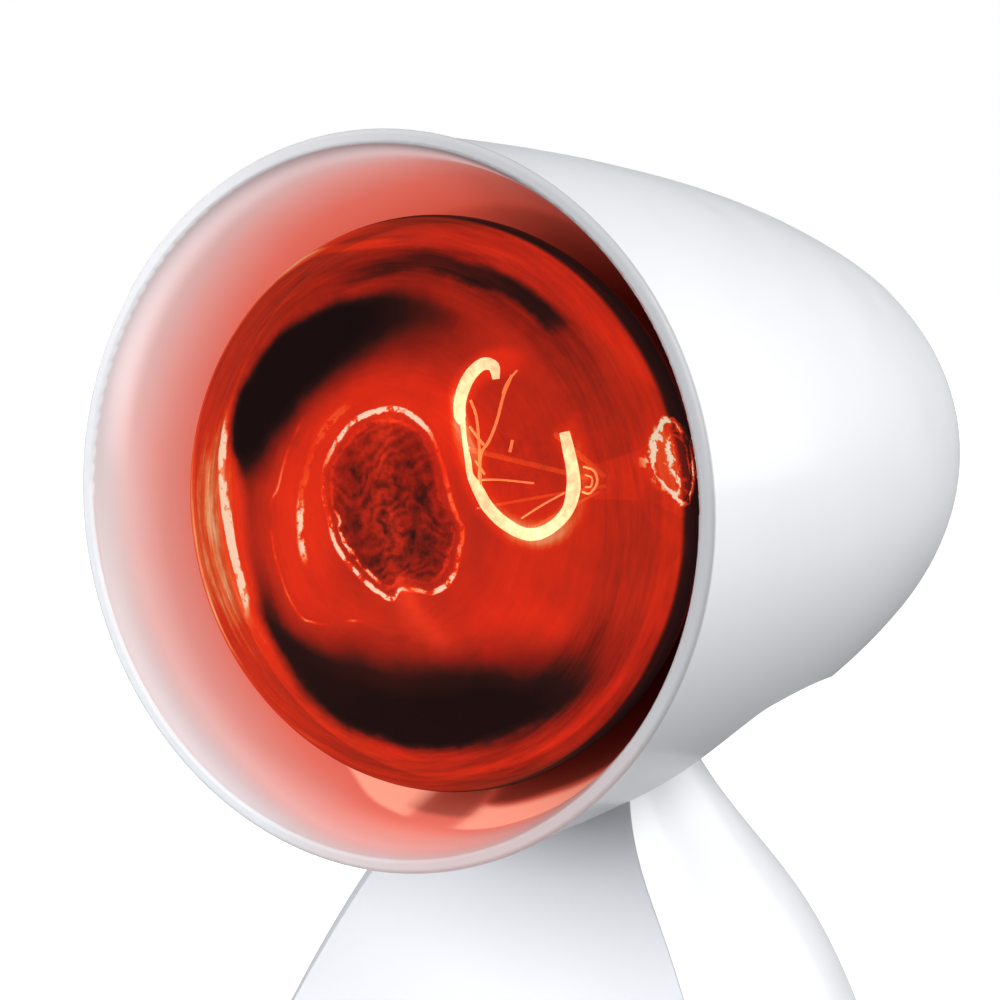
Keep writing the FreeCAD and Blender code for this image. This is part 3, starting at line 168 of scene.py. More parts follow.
def arc_points(centre_y, centre_z, radius, start, stop, count):
    """Points of an arc in the middle plane; 0 degrees is rearwards and 90 degrees is up."""
    points = []
    for i in range(count):
        a = math.radians(start + (stop - start) * i / (count - 1))
        points.append((0, centre_y + radius * math.cos(a), centre_z + radius * math.sin(a)))
    return points


def flowing(points, per_span=4):
    """Smooth run of points through given ones."""
    known = [Vector(p) for p in points]
    known = [2 * known[0] - known[1]] + known + [2 * known[-1] - known[-2]]
    run = []
    for a, b, c, d in zip(known, known[1:], known[2:], known[3:]):
        for i in range(per_span):
            t = i / per_span
            run.append(0.5 * (2 * b + (c - a) * t + (2 * a - 5 * b + 4 * c - d) * t * t
                              + (3 * b - a - 3 * c + d) * t ** 3))
    run.append(known[-2])
    return run


def wire(name, points, radii):
    """Round wire along points, as thick at each as given."""
    outline(name, points)
    bpy.ops.object.mode_set(mode="OBJECT")
    bpy.ops.object.convert(target="CURVE")
    run = bpy.context.object.data
    thickest = max(radii)
    knots = run.splines[0].points
    first_is_start = (Vector(knots[0].co[:3]) - Vector(points[0])).length < (
        Vector(knots[-1].co[:3]) - Vector(points[0])).length
    for knot, radius in zip(knots, radii if first_is_start else reversed(radii)):
        knot.radius = radius / thickest
    run.bevel_depth = thickest
    run.bevel_resolution = 4
    run.use_fill_caps = True
    bpy.ops.object.convert(target="MESH")
    piece = bpy.context.object
    piece.name = piece.data.name = name
    return end(piece, 60)


# ---- finishes
def fill(socket, value):
    """Give an input a value, a colour or another node's output."""
    if isinstance(value, bpy.types.NodeSocket):
        socket.id_data.links.new(value, socket)
    elif socket.type == "RGBA":
        socket.default_value = (*value, 1)
    else:
        socket.default_value = value


class Finish:
    """A material and short ways to add its nodes."""

    def __init__(self, name, colour, roughness, metallic=0.0):
        self.material = bpy.data.materials.new(name)
        self.material.use_nodes = True
        self.tree = self.material.node_tree
        self.shader = self.tree.nodes["Principled BSDF"]
        self.output = self.tree.nodes["Material Output"]
        self.feed("Base Color", colour)
        self.feed("Roughness", roughness)
        self.feed("Metallic", metallic)
        self.place = self.node("TexCoord").outputs["Object"]

    def feed(self, name, value):
        """Fill an input of the shader."""
        fill(self.shader.inputs[name], value)

    def node(self, kind, inputs=None, **settings):
        """A node with its settings and inputs."""
        made = self.tree.nodes.new("ShaderNode" + kind)
        for key, value in settings.items():
            setattr(made, key, value)
        for key, value in (inputs or {}).items():
            fill(made.inputs[key], value)
        return made

    def show(self, node):
        """Give the surface this node's shader."""
        fill(self.output.inputs[0], node.outputs[0])

    def axes(self, vector=None):
        """Outputs of the three parts of a vector, or of the piece's own coordinates."""
        parts = self.node("SeparateXYZ", {"Vector": vector or self.place}).outputs
        return parts["X"], parts["Y"], parts["Z"]

    def math(self, operation, a, b=0.0):
        """Result of a sum on values or outputs."""
        return self.node("Math", {0: a, 1: b}, operation=operation).outputs[0]

    def add(self, first, *others):
        """Sum of values or outputs."""
        for value in others:
            first = self.math("ADD", first, value)
        return first

    def minus(self, a, b):
        """Difference of values or outputs."""
        return self.math("SUBTRACT", a, b)

    def times(self, first, *others):
        """Product of values or outputs."""
        for value in others:
            first = self.math("MULTIPLY", first, value)
        return first

    def rest(self, share):
        """What a share leaves of 1."""
        return self.minus(1.0, share)

    def noise(self, scale, detail=3.0, roughness=0.5, vector=None):
        """Noise over the piece's own coordinates."""
        return self.node("TexNoise", {
            "Vector": vector or self.place, "Scale": scale, "Detail": detail, "Roughness": roughness}).outputs["Fac"]

    def uneven(self, *settings):
        """Noise round zero."""
        return self.minus(self.noise(*settings), 0.5)

    def ramp(self, value, stops, interpolation="EASE"):
        """Colour ramp; stops are (place, colour), in order."""
        made = self.node("ValToRGB", {"Fac": value})
        band = made.color_ramp
        band.interpolation = interpolation
        while len(band.elements) < len(stops):
            band.elements.new(0.5)
        for element, (place, colour) in zip(band.elements, stops):
            element.position = place
            element.color = (*colour, 1)
        return made.outputs["Color"]

    def mix(self, factor, a, b):
        """Mix of two colours."""
        return self.node("Mix", {0: factor, 6: a, 7: b}, data_type="RGBA").outputs[2]

    def span(self, value, low, high, to_low=0.0, to_high=1.0, **settings):
        """Value carried from one range to another, clamped."""
        return self.node("MapRange", {"Value": value, "From Min": low, "From Max": high, "To Min": to_low,
                                      "To Max": to_high}, **settings).outputs["Result"]

    def smooth(self, value, low, high):
        """0 below a range, 1 above it, eased between."""
        return self.span(value, low, high, interpolation_type="SMOOTHSTEP")

    def polar(self, across, up):
        """Distance in millimetres and angle (0 to 1, from the right, upwards) in a plane."""
        squares = self.add(self.times(across, across), self.times(up, up))
        distance = self.times(self.math("SQRT", squares), 1 / MM)
        angle = self.math("ARCTAN2", self.times(up, -1.0), self.times(across, -1.0))
        return distance, self.span(angle, -math.pi, math.pi)

    def around(self, angle, points, top=50.0):
        """Value that changes with the angle; points are (degrees, value), from 0 degrees, with none past the top."""
        points = (*points, (360, points[0][1]))
        made = self.node("FloatCurve", {"Value": angle})
        curve = made.mapping.curves[0]
        while len(curve.points) < len(points):
            curve.points.new(0.5, 0.5)
        for knot, (degrees, value) in zip(curve.points, points):
            knot.location = (degrees / 360, value / top)
        made.mapping.update()
        return self.times(made.outputs["Value"], top)

    def share(self, angle, points):
        """Share from 0 to 1 that changes with the angle."""
        return self.around(angle, points, 1.0)

    def band(self, distance, inner, outer, soft_inner, soft_outer):
        """1 between two radii, eased at both."""
        rise = self.smooth(distance, self.minus(inner, soft_inner), self.add(inner, soft_inner))
        fall = self.smooth(distance, self.minus(outer, soft_outer), self.add(outer, soft_outer))
        return self.times(rise, self.rest(fall))

    def stroke(self, distance, angle, course, weight, half_width):
        """Thin line along a course round a centre, its strength given by the angle."""
        off = self.math("ABSOLUTE", self.minus(distance, self.around(angle, course)))
        line = self.rest(self.smooth(off, self.times(half_width, 0.3), half_width))
        return self.times(line, self.share(angle, weight))

    def glow(self, colour, strength):
        """Light that the piece gives by itself."""
        self.feed("Emission Color", colour)
        self.feed("Emission Strength", strength)

    def bump(self, height, distance, strength):
        """Fine relief on the shader."""
        relief = self.node("Bump", {"Height": height, "Distance": distance, "Strength": strength})
        self.feed("Normal", relief.outputs["Normal"])

    def vary(self, colour, amount, scale):
        """Base colour that wanders a little from place to place."""
        self.feed("Base Color", self.mix(self.noise(scale), shaded(colour, 1 - amount), colour))

    def rough(self, low, high, scale):
        """Roughness between two values, in patches."""
        self.feed("Roughness", self.span(self.noise(scale), 0.2, 0.8, low, high))


def shaded(colour, share):
    """A darker colour."""
    return tuple(part * share for part in colour)


def moulded(name, colour, roughness, grain=900.0, relief=0.02, coat=0.0):
    """Moulded plastic: a fine orange-peel relief and slightly uneven gloss."""
    finish = Finish(name, colour, roughness)
    finish.vary(colour, 0.03, 35.0)
    finish.rough(roughness * 0.85, roughness * 1.2, 60.0)
    finish.bump(finish.noise(grain, 2.0), relief * MM, 0.25)
    finish.feed("Coat Weight", coat)
    finish.feed("Coat Roughness", 0.12)
    finish.feed("IOR", 1.5)
    return finish


def metal(name, colour, roughness, lines=(60.0, 900.0, 60.0)):
    """Plated or rolled metal with faint lines."""
    finish = Finish(name, colour, roughness, 1.0)
    stretched = finish.node("Mapping", {"Vector": finish.place, "Scale": lines}).outputs["Vector"]
    streaks = finish.noise(4.0, 3.0, 0.5, stretched)
    finish.feed("Base Color", finish.mix(streaks, shaded(colour, 0.86), colour))
    finish.feed("Roughness", finish.span(streaks, 0.3, 0.7, roughness * 0.8, roughness * 1.3))
    finish.bump(streaks, 0.01 * MM, 0.2)
    return finish


def dress(piece, finish):
    """Give a piece one finish all over."""
    piece.data.materials.clear()
    piece.data.materials.append(finish.material)


def carry(node, finish):
    """Give a carried-over CAD node a finish by its slots."""
    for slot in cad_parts[node].material_slots:
        slot.material = finish.material


class RubyGlass(Finish):
    """Ruby glass lit from behind, with painted reflections: rings of the reflector, dark arcs, and warm glints of
    the filament.

    Its look is one level of light, from 0, dark, to 1, cream, that depends on the place on the glass.
    Angles are in degrees round the bulb's axis and distances from it in millimetres.
    """
    # edge of the pressed oval, round its own middle
    OVAL = (
        (0, 12.2), (17, 11.3), (47, 13), (65, 15.3), (75, 16.2), (87, 16.9), (102, 16.8), (113, 16.6),
        (132, 15.5), (146, 14.9), (169, 12.9), (183, 11.7), (203, 11.6), (232, 11.1), (255, 12.1), (270, 12.8),
        (277, 11.5), (290, 12), (304, 13.7), (320, 14), (334, 13.2), (356, 12.7))

    def __init__(self):
        super().__init__("ruby_glass", (0.80, 0.045, 0.012), 0.03)
        self.x, self.y, z = self.axes()
        self.z = self.minus(z, LAMP_Z)
        self.near, self.angle = self.polar(self.x, self.z)
        self.wavy = self.add(self.near, self.times(self.uneven(70.0, 4.0, 0.6), 4.0))
        self.noises = {
            "streaks": self.run_round(0.62, 2.4, 5.0, 0.62), "grain": self.run_round(1.9, 5.0, 3.0, 0.6),
            "patches": self.uneven(85.0, 4.0, 0.6), "mottle": self.uneven(430.0, 4.0, 0.65)}
        self.broken = self.smooth(self.tone(0.5, mottle=1.0), 0.36, 0.52)
        self.oval, self.oval_angle = self.polar(self.minus(self.x, 1.7 * MM), self.add(self.z, 0.7 * MM))
        level = self.ground()
        for part in (self.painted_filament_halo, self.pressed_oval_and_painted_shadow, self.painted_dark_reflections, self.painted_outer_rings):
            level = part(level)
        self.surface(self.add(level, *self.painted_oval_glints(), *self.painted_side_glint()))

    def tone(self, base, **amounts):
        """A value with noises added to it in these amounts."""
        return self.add(base, *(self.times(self.noises[name], amount) for name, amount in amounts.items()))

    def run_round(self, outwards, along, detail, roughness):
        """Uneven tone in streaks that run round the glass."""
        turned = self.times(self.angle, math.tau)
        vector = self.node("CombineXYZ", {
            "X": self.times(self.near, outwards), "Y": self.times(self.math("COSINE", turned), along),
            "Z": self.times(self.math("SINE", turned), along)}).outputs[0]
        return self.uneven(1.0, detail, roughness, vector)

    def ground(self):
        """Even red in the middle, streaks outside, and painted shade above."""
        add, times = self.add, self.times
        zone = self.share(self.angle, (
            (0, .6), (20, .58), (40, .5), (60, .43), (90, .4), (120, .47), (150, .5), (165, .58), (180, .68),
            (200, .68), (220, .56), (250, .5), (280, .42), (300, .33), (325, .34), (345, .54)))
        centre = self.tone(0.60, patches=0.26, streaks=0.12, grain=0.10)
        lines = add(zone, self.tone(0.0, streaks=0.42, grain=0.22))
        outer_zone = self.smooth(self.near, 34.0, 38.0)
        level = add(centre, times(outer_zone, self.minus(lines, centre)))
        # painted shade: a darker band above the middle of the glass
        dusk = times(self.band(self.wavy, 23.5, 42.0, 4.0, 1.5), self.share(self.angle, (
            (0, 0), (30, .05), (50, .26), (75, .3), (100, .28), (120, .22), (140, .08), (160, 0))))
        return times(level, self.rest(dusk))

    def painted_filament_halo(self, level):
        """Painted glow round the filament, and painted shade beyond it."""
        add, times = self.add, self.times
        glow, angle = self.polar(self.minus(self.x, 23.5 * MM), self.minus(self.z, 9 * MM))
        halo = self.stroke(glow, angle, (
            (0, 9), (32, 8.3), (70, 12), (108, 15.6), (135, 14.4), (152, 11), (184, 7.8), (236, 8.6),
            (267, 10.8), (291, 12), (318, 11.2), (343, 9.8)), (
            (0, 1), (35, .8), (50, .2), (75, .1), (100, .7), (135, 1), (200, .9), (270, 1), (330, 1)), 3.2)
        hollow = self.rest(self.smooth(glow, 3.0, 9.0))
        beyond = times(self.band(self.near, 30.0, 43.0, 3.0, 2.0), self.share(self.angle, (
            (0, .06), (25, .11), (45, .07), (60, 0), (320, 0), (340, .03))))
        level = add(level, times(halo, 0.22), times(hollow, self.tone(-0.07, mottle=0.3)))
        return times(level, self.rest(times(beyond, self.tone(1.0, mottle=2.4))))

    def pressed_oval_and_painted_shadow(self, level):
        """Dark, crumpled oval in the middle, with a soft painted shadow."""
        add, minus, times = self.add, self.minus, self.times
        threads = minus(self.node("TexWave", {
            "Vector": self.place, "Scale": 120.0, "Distortion": 40.0, "Detail": 3.0, "Detail Scale": 0.6},
            bands_direction="Z").outputs["Fac"], 0.5)
        reach = self.around(self.oval_angle, self.OVAL)
        inside = self.rest(self.smooth(self.oval, minus(reach, 3.4), add(reach, 0.4)))
        # painted shadow: the glass darkens round a point a little below the oval
        shadow = self.polar(minus(self.x, 5.0 * MM), add(self.z, 4.0 * MM))[0]
        level = times(level, self.rest(times(self.rest(self.smooth(shadow, 11.0, 19.0)), 0.22)))
        return add(level, times(inside, add(self.tone(-0.22, mottle=0.46), times(threads, 0.08))))

    def painted_dark_reflections(self, level):
        """Painted reflections: dark arcs above and below where the reflector shows the unlit rim."""
        add, times = self.add, self.times
        inner = self.around(self.angle, (
            (0, 38), (30, 33.5), (60, 31), (80, 26), (100, 24), (120, 22.8), (140, 22.8), (160, 24.2),
            (180, 24.6), (200, 25), (220, 26), (240, 23.6), (260, 20.8), (280, 20.8), (300, 24.6), (320, 29),
            (335, 36)))
        outer = self.around(self.angle, (
            (0, 38), (30, 34), (60, 33), (80, 33.8), (100, 34.6), (120, 35.6), (140, 36.2), (160, 34.6),
            (170, 30.8), (180, 28.6), (200, 29.6), (220, 32.8), (240, 35.4), (260, 37.4), (280, 38.8), (300, 39.6),
            (320, 42.6), (335, 42.6)))
        # how much of the dark comes at once, and how much with the distance
        quick = self.share(self.angle, (
            (0, .6), (60, .7), (90, .86), (120, 1), (170, 1), (200, .9), (235, .72), (260, .66), (300, .64)))
        slow = self.smooth(self.wavy, add(inner, 1.0), self.minus(outer, 3.5))
        arcs = times(self.band(self.wavy, inner, outer, 5.5, 2.2), add(quick, times(slow, self.rest(quick))))
        weight = self.share(self.angle, (
            (0, 0), (50, 0), (68, .34), (88, .66), (106, .92), (122, 1), (152, 1), (168, .74), (180, .46),
            (195, .42), (215, .72), (235, .84), (258, .97), (298, 1), (311, .8), (323, .48), (334, .12), (345, 0)))
        arcs = times(arcs, weight, self.tone(1.0, patches=0.22, grain=0.10))
        thin = self.stroke(self.wavy, self.angle, (
            (0, 40), (33, 41), (43, 41), (51, 40.2), (59, 40.4), (69, 39.8), (81, 39.1), (91, 38.6),
            (107, 38), (130, 38)), (
            (0, 0), (38, 0), (46, .35), (54, .7), (62, .62), (80, .4), (104, .22), (122, 0)), 2.4)
        dark = self.math("MINIMUM", self.math("MAXIMUM", times(arcs, 1.14), thin), 1.0)
        return times(level, self.rest(dark))

    def painted_outer_rings(self, level):
        """Painted reflections: lines of light near the edge, and painted shade on the dark turn of the glass behind
        it.
        """
        add, times = self.add, self.times
        rings = self.stroke(self.near, self.angle, (
            (0, 45), (32, 45.1), (46, 45.1), (55, 44.4), (69, 43.3), (82, 42.3), (103, 42.7), (120, 45),
            (150, 44.5), (180, 43.2), (210, 43), (245, 43.4), (267, 43.2), (287, 42.9), (308, 43.8), (320, 44.1),
            (331, 44.8)), (
            (0, .04), (30, .06), (60, .04), (90, .1), (120, .2), (170, .1), (210, .14), (245, .16), (290, .14),
            (330, .06)), 1.0)
        edge = times(self.smooth(self.near, 43.6, 45.6), self.share(self.angle, (
            (0, 0), (60, 0), (100, .05), (118, .26), (150, .2), (180, .13), (200, .15), (222, .22), (245, .08),
            (300, 0))))
        level = add(level, times(rings, self.tone(1.0, streaks=2.0)), edge)
        # painted shade at the glass's outer edge and on its turn
        level = times(level, self.rest(times(self.smooth(self.near, 45.9, 46.3), 0.75)))
        depth = times(self.minus(self.y, GLASS[0].y), 1 / MM)
        return times(level, self.rest(times(self.smooth(depth, 13.5, 18.5), 0.78)))

    def painted_oval_glints(self):
        """Painted glints: light of the broken lines round the oval and beside it."""
        times, stroke, broken = self.times, self.stroke, self.broken
        oval, angle = self.oval, self.oval_angle
        ring = stroke(self.tone(oval, mottle=1.2), angle, self.OVAL, (
            (0, .35), (17, .45), (47, .25), (65, .55), (85, .9), (105, .95), (130, .8), (150, .35), (170, .5),
            (200, .6), (225, .9), (250, 1), (275, .8), (290, .5), (305, .9), (320, .7), (340, .5)), 0.62)
        inner_ring = stroke(self.add(self.tone(oval, mottle=2.0), 1.7), angle, self.OVAL, (
            (0, .2), (60, .1), (90, .35), (130, .2), (165, .3), (190, .9), (235, 1), (262, .6), (290, .1), (320, .3),
            (345, .5)), 0.5)
        second = stroke(self.tone(oval, mottle=1.6), angle, (
            (0, 19), (119, 19.2), (140, 18.4), (162, 17.7), (185, 17.8), (204, 18.6), (230, 19)), (
            (0, 0), (110, 0), (120, .35), (160, .35), (172, .4), (180, .9), (200, .9), (210, 0)), 1.1)
        third = stroke(oval, angle, (
            (0, 23), (143, 22.8), (158, 22.6), (171, 22.8), (177, 24), (191, 24.4), (204, 24.7), (216, 25.3),
            (223, 25.2), (227, 24.2), (232, 22.7), (238, 20.3), (250, 18), (260, 17.5)), (
            (0, 0), (138, 0), (146, .35), (170, .45), (200, .5), (220, .4), (228, .7), (245, .6), (252, 0)), 0.42)
        streak = stroke(self.tone(self.near, streaks=2.0), self.angle, (
            (0, 34), (150, 37), (164, 35.4), (179, 33.6), (197, 32.6), (208, 33.4), (216, 35.5)), (
            (0, 0), (150, 0), (162, .75), (178, 1), (200, 1), (209, .6), (216, 0)), 1.35)
        warm = stroke(self.near, self.angle, (
            (0, 34), (150, 38), (164, 37), (179, 35.4), (197, 34.4), (216, 36)), (
            (0, 0), (145, 0), (160, .6), (180, 1), (200, 1), (212, .5), (225, 0)), 5.5)
        return (times(ring, self.add(0.12, times(0.66, broken))), times(inner_ring, times(0.6, broken)),
                times(second, times(0.42, broken)),
                times(third, times(0.6, self.smooth(self.noises["patches"], -0.12, 0.06))),
                times(streak, times(0.44, self.add(0.3, broken))), times(warm, 0.09))

    def painted_side_glint(self):
        """Painted glint: light of the spark on the left turn of the glass."""
        times = self.times
        across, angle = self.polar(self.minus(self.y, GLASS[0].y + 14.5 * MM), self.minus(self.z, 9.2 * MM))
        on_side = self.smooth(self.x, 38 * MM, 41 * MM)
        patch = times(self.rest(self.smooth(across, 5.0, 6.6)), on_side)
        crumpled = self.tone(across, mottle=3.6)
        loop = self.stroke(crumpled, angle, (
            (0, 3.8), (60, 4.6), (90, 6.4), (120, 5.4), (180, 4.2), (240, 5.4), (270, 6.8), (300, 5)), (
            (0, .8), (45, .4), (90, .7), (180, .9), (220, .5), (270, .8)), 0.55)
        core = self.stroke(crumpled, angle, ((0, 1.6), (90, 3.4), (180, 1.8), (270, 3.2)), (
            (0, .9), (90, .4), (180, .9), (250, .3)), 0.5)
        return (times(patch, self.add(0.10, times(self.smooth(self.noises["mottle"], 0.02, 0.12), 0.30))),
                times(self.math("MAXIMUM", loop, core), on_side, times(0.7, self.broken)))

    def surface(self, level):
        """Shader of the glass: its own light, what shows through it, and a faint gloss."""
        light = self.ramp(level, (
            (0.0, (.0065, .0050, .0054)), (0.10, (.0125, .0078, .0074)), (0.18, (.048, .0116, .0086)),
            (0.30, (.188, .0152, .0086)), (0.44, (.376, .0222, .0103)), (0.58, (.610, .0262, .0097)),
            (0.68, (.730, .0319, .0091)), (0.78, (.831, .1022, .0262)), (0.88, (.913, .352, .156)),
            (1.0, (.973, .807, .578))), "LINEAR")
        clear = self.ramp(level, (
            (0.0, (0.02, 0.01, 0.01)), (0.12, (0.06, 0.02, 0.01)), (0.3, (0.5, 0.14, 0.08)),
            (0.6, (1.0, 0.50, 0.34)), (1.0, (1.0, 0.6, 0.4))), "LINEAR")
        shown = self.node("Emission", {"Color": light, "Strength": 1.0})
        through = self.node("BsdfTransparent", {"Color": clear})
        body = self.node("MixShader", {0: 0.24, 1: shown.outputs[0], 2: through.outputs[0]})
        gloss = self.node("BsdfGlossy", {"Color": (1.0, 0.55, 0.38), "Roughness": 0.16})
        shine = self.times(self.node("Fresnel", {"IOR": 1.45}).outputs[0], 0.22)
        self.show(self.node("MixShader", {0: shine, 1: body.outputs[0], 2: gloss.outputs[0]}))


# ---- operators
class LAMP_OT_stage(bpy.types.Operator):
    """Set the camera, the floor and the soft lights"""
    bl_idname = "heat_lamp.stage"
    bl_label = "Stage"

    def execute(self, context):
        self.set_camera(context)
        self.lay_floor(context)
        self.set_world(context)
        self.hang_lights(context)
        context.scene.view_settings.view_transform = "Standard"
        return {"FINISHED"}

    def set_camera(self, context):
        """Stand the camera before the mouth, to its left and a little above."""
        azimuth = math.radians(30.74)
        elevation = math.radians(4.92)
        place = Vector((296.34, -544.26, 187.29)) * MM
        right = Vector((math.cos(azimuth), math.sin(azimuth), 0))
        back = Vector((math.sin(azimuth) * math.cos(elevation), -math.cos(azimuth) * math.cos(elevation),
                       math.sin(elevation)))
        turn = Matrix((right, back.cross(right), back)).transposed().to_4x4()
        data = bpy.data.cameras.new("view_camera")
        data.lens = context.scene.heat_lamp_sizes.lens
        data.clip_start = 10 * MM
        camera = bpy.data.objects.new("view_camera", data)
        context.scene.collection.objects.link(camera)
        camera.matrix_world = Matrix.Translation(place) @ turn
        context.scene.camera = camera

    def lay_floor(self, context):
        """Paper that looks white from the camera but throws little light on the lamp."""
        deselect()
        bpy.ops.mesh.primitive_grid_add(x_subdivisions=8, y_subdivisions=8, size=8, location=(0, 1.5, 0))
        floor = context.object
        floor.name = "floor_sheet"
        grey = (0.20, 0.20, 0.205)
        paper = Finish("paper_white", grey, 0.9)
        paper.vary(grey, 0.02, 3.0)
        seen = paper.node("LightPath").outputs
        white = paper.node("Emission", {"Color": (1, 1, 1), "Strength": 1.60})
        far = paper.node("VectorMath", {0: paper.place}, operation="LENGTH").outputs["Value"]
        share = paper.times(seen["Is Camera Ray"], paper.span(far, 0.4, 1.3, 0.60, 0.97))
        for ray, most in (("Is Glossy Ray", 0.12), ("Is Transmission Ray", 0.3)):
            share = paper.math("MAXIMUM", share, paper.times(seen[ray], most))
        paper.show(paper.node("MixShader", {0: share, 1: paper.shader.outputs[0], 2: white.outputs[0]}))
        dress(floor, paper)

    def set_world(self, context):
        """Pale blue surroundings that look white from the camera."""
        world = bpy.data.worlds.new("studio")
        context.scene.world = world
        world.use_nodes = True
        nodes = world.node_tree.nodes
        light = nodes["Background"]
        white = nodes.new("ShaderNodeBackground")
        both = nodes.new("ShaderNodeMixShader")
        fill(light.inputs["Color"], (0.86, 0.91, 1.0))
        fill(light.inputs["Strength"], 0.20)
        fill(white.inputs["Color"], (1, 1, 1))
        fill(both.inputs[0], nodes.new("ShaderNodeLightPath").outputs["Is Camera Ray"])
        fill(both.inputs[1], light.outputs[0])
        fill(both.inputs[2], white.outputs[0])
        fill(nodes["World Output"].inputs[0], both.outputs[0])

    def hang_lights(self, context):
        """Square lights round the head."""
        target = Vector((0, 0, AXIS_Z))
        # name, direction, distance and size in metres, power in watts, colour, whether gloss mirrors it
        for name, way, distance, size, power, colour, mirrored in (
                ("key_light", (1.05, -0.24, 0.64), 1.6, 1.2, 25.5, (1.0, 0.995, 0.985), True),
                ("top_light", (0.25, 0.15, 1.0), 1.6, 1.4, 2.0, (0.94, 0.97, 1.0), True),
                ("front_light", (-0.34, -1.0, 0.26), 1.8, 1.3, 23.5, (0.97, 0.98, 1.0), False),
                ("low_light", (-0.12, -1.0, -0.08), 1.1, 0.5, 4.0, (0.95, 0.97, 1.0), False),
                ("left_light", (-1.0, 0.0, 0.35), 1.8, 1.2, 6.0, (0.95, 0.97, 1.0), False),
                ("rear_light", (0.65, 0.9, 0.35), 1.8, 1.2, 7.5, (0.97, 0.98, 1.0), True)):
            data = bpy.data.lights.new(name, "AREA")
            data.size = size
            data.energy = power
            data.color = colour
            lamp = bpy.data.objects.new(name, data)
            context.scene.collection.objects.link(lamp)
            direction = Vector(way).normalized()
            lamp.location = target + direction * distance
            lamp.rotation_euler = direction.to_track_quat("Z", "Y").to_euler()
            lamp.visible_glossy = mirrored


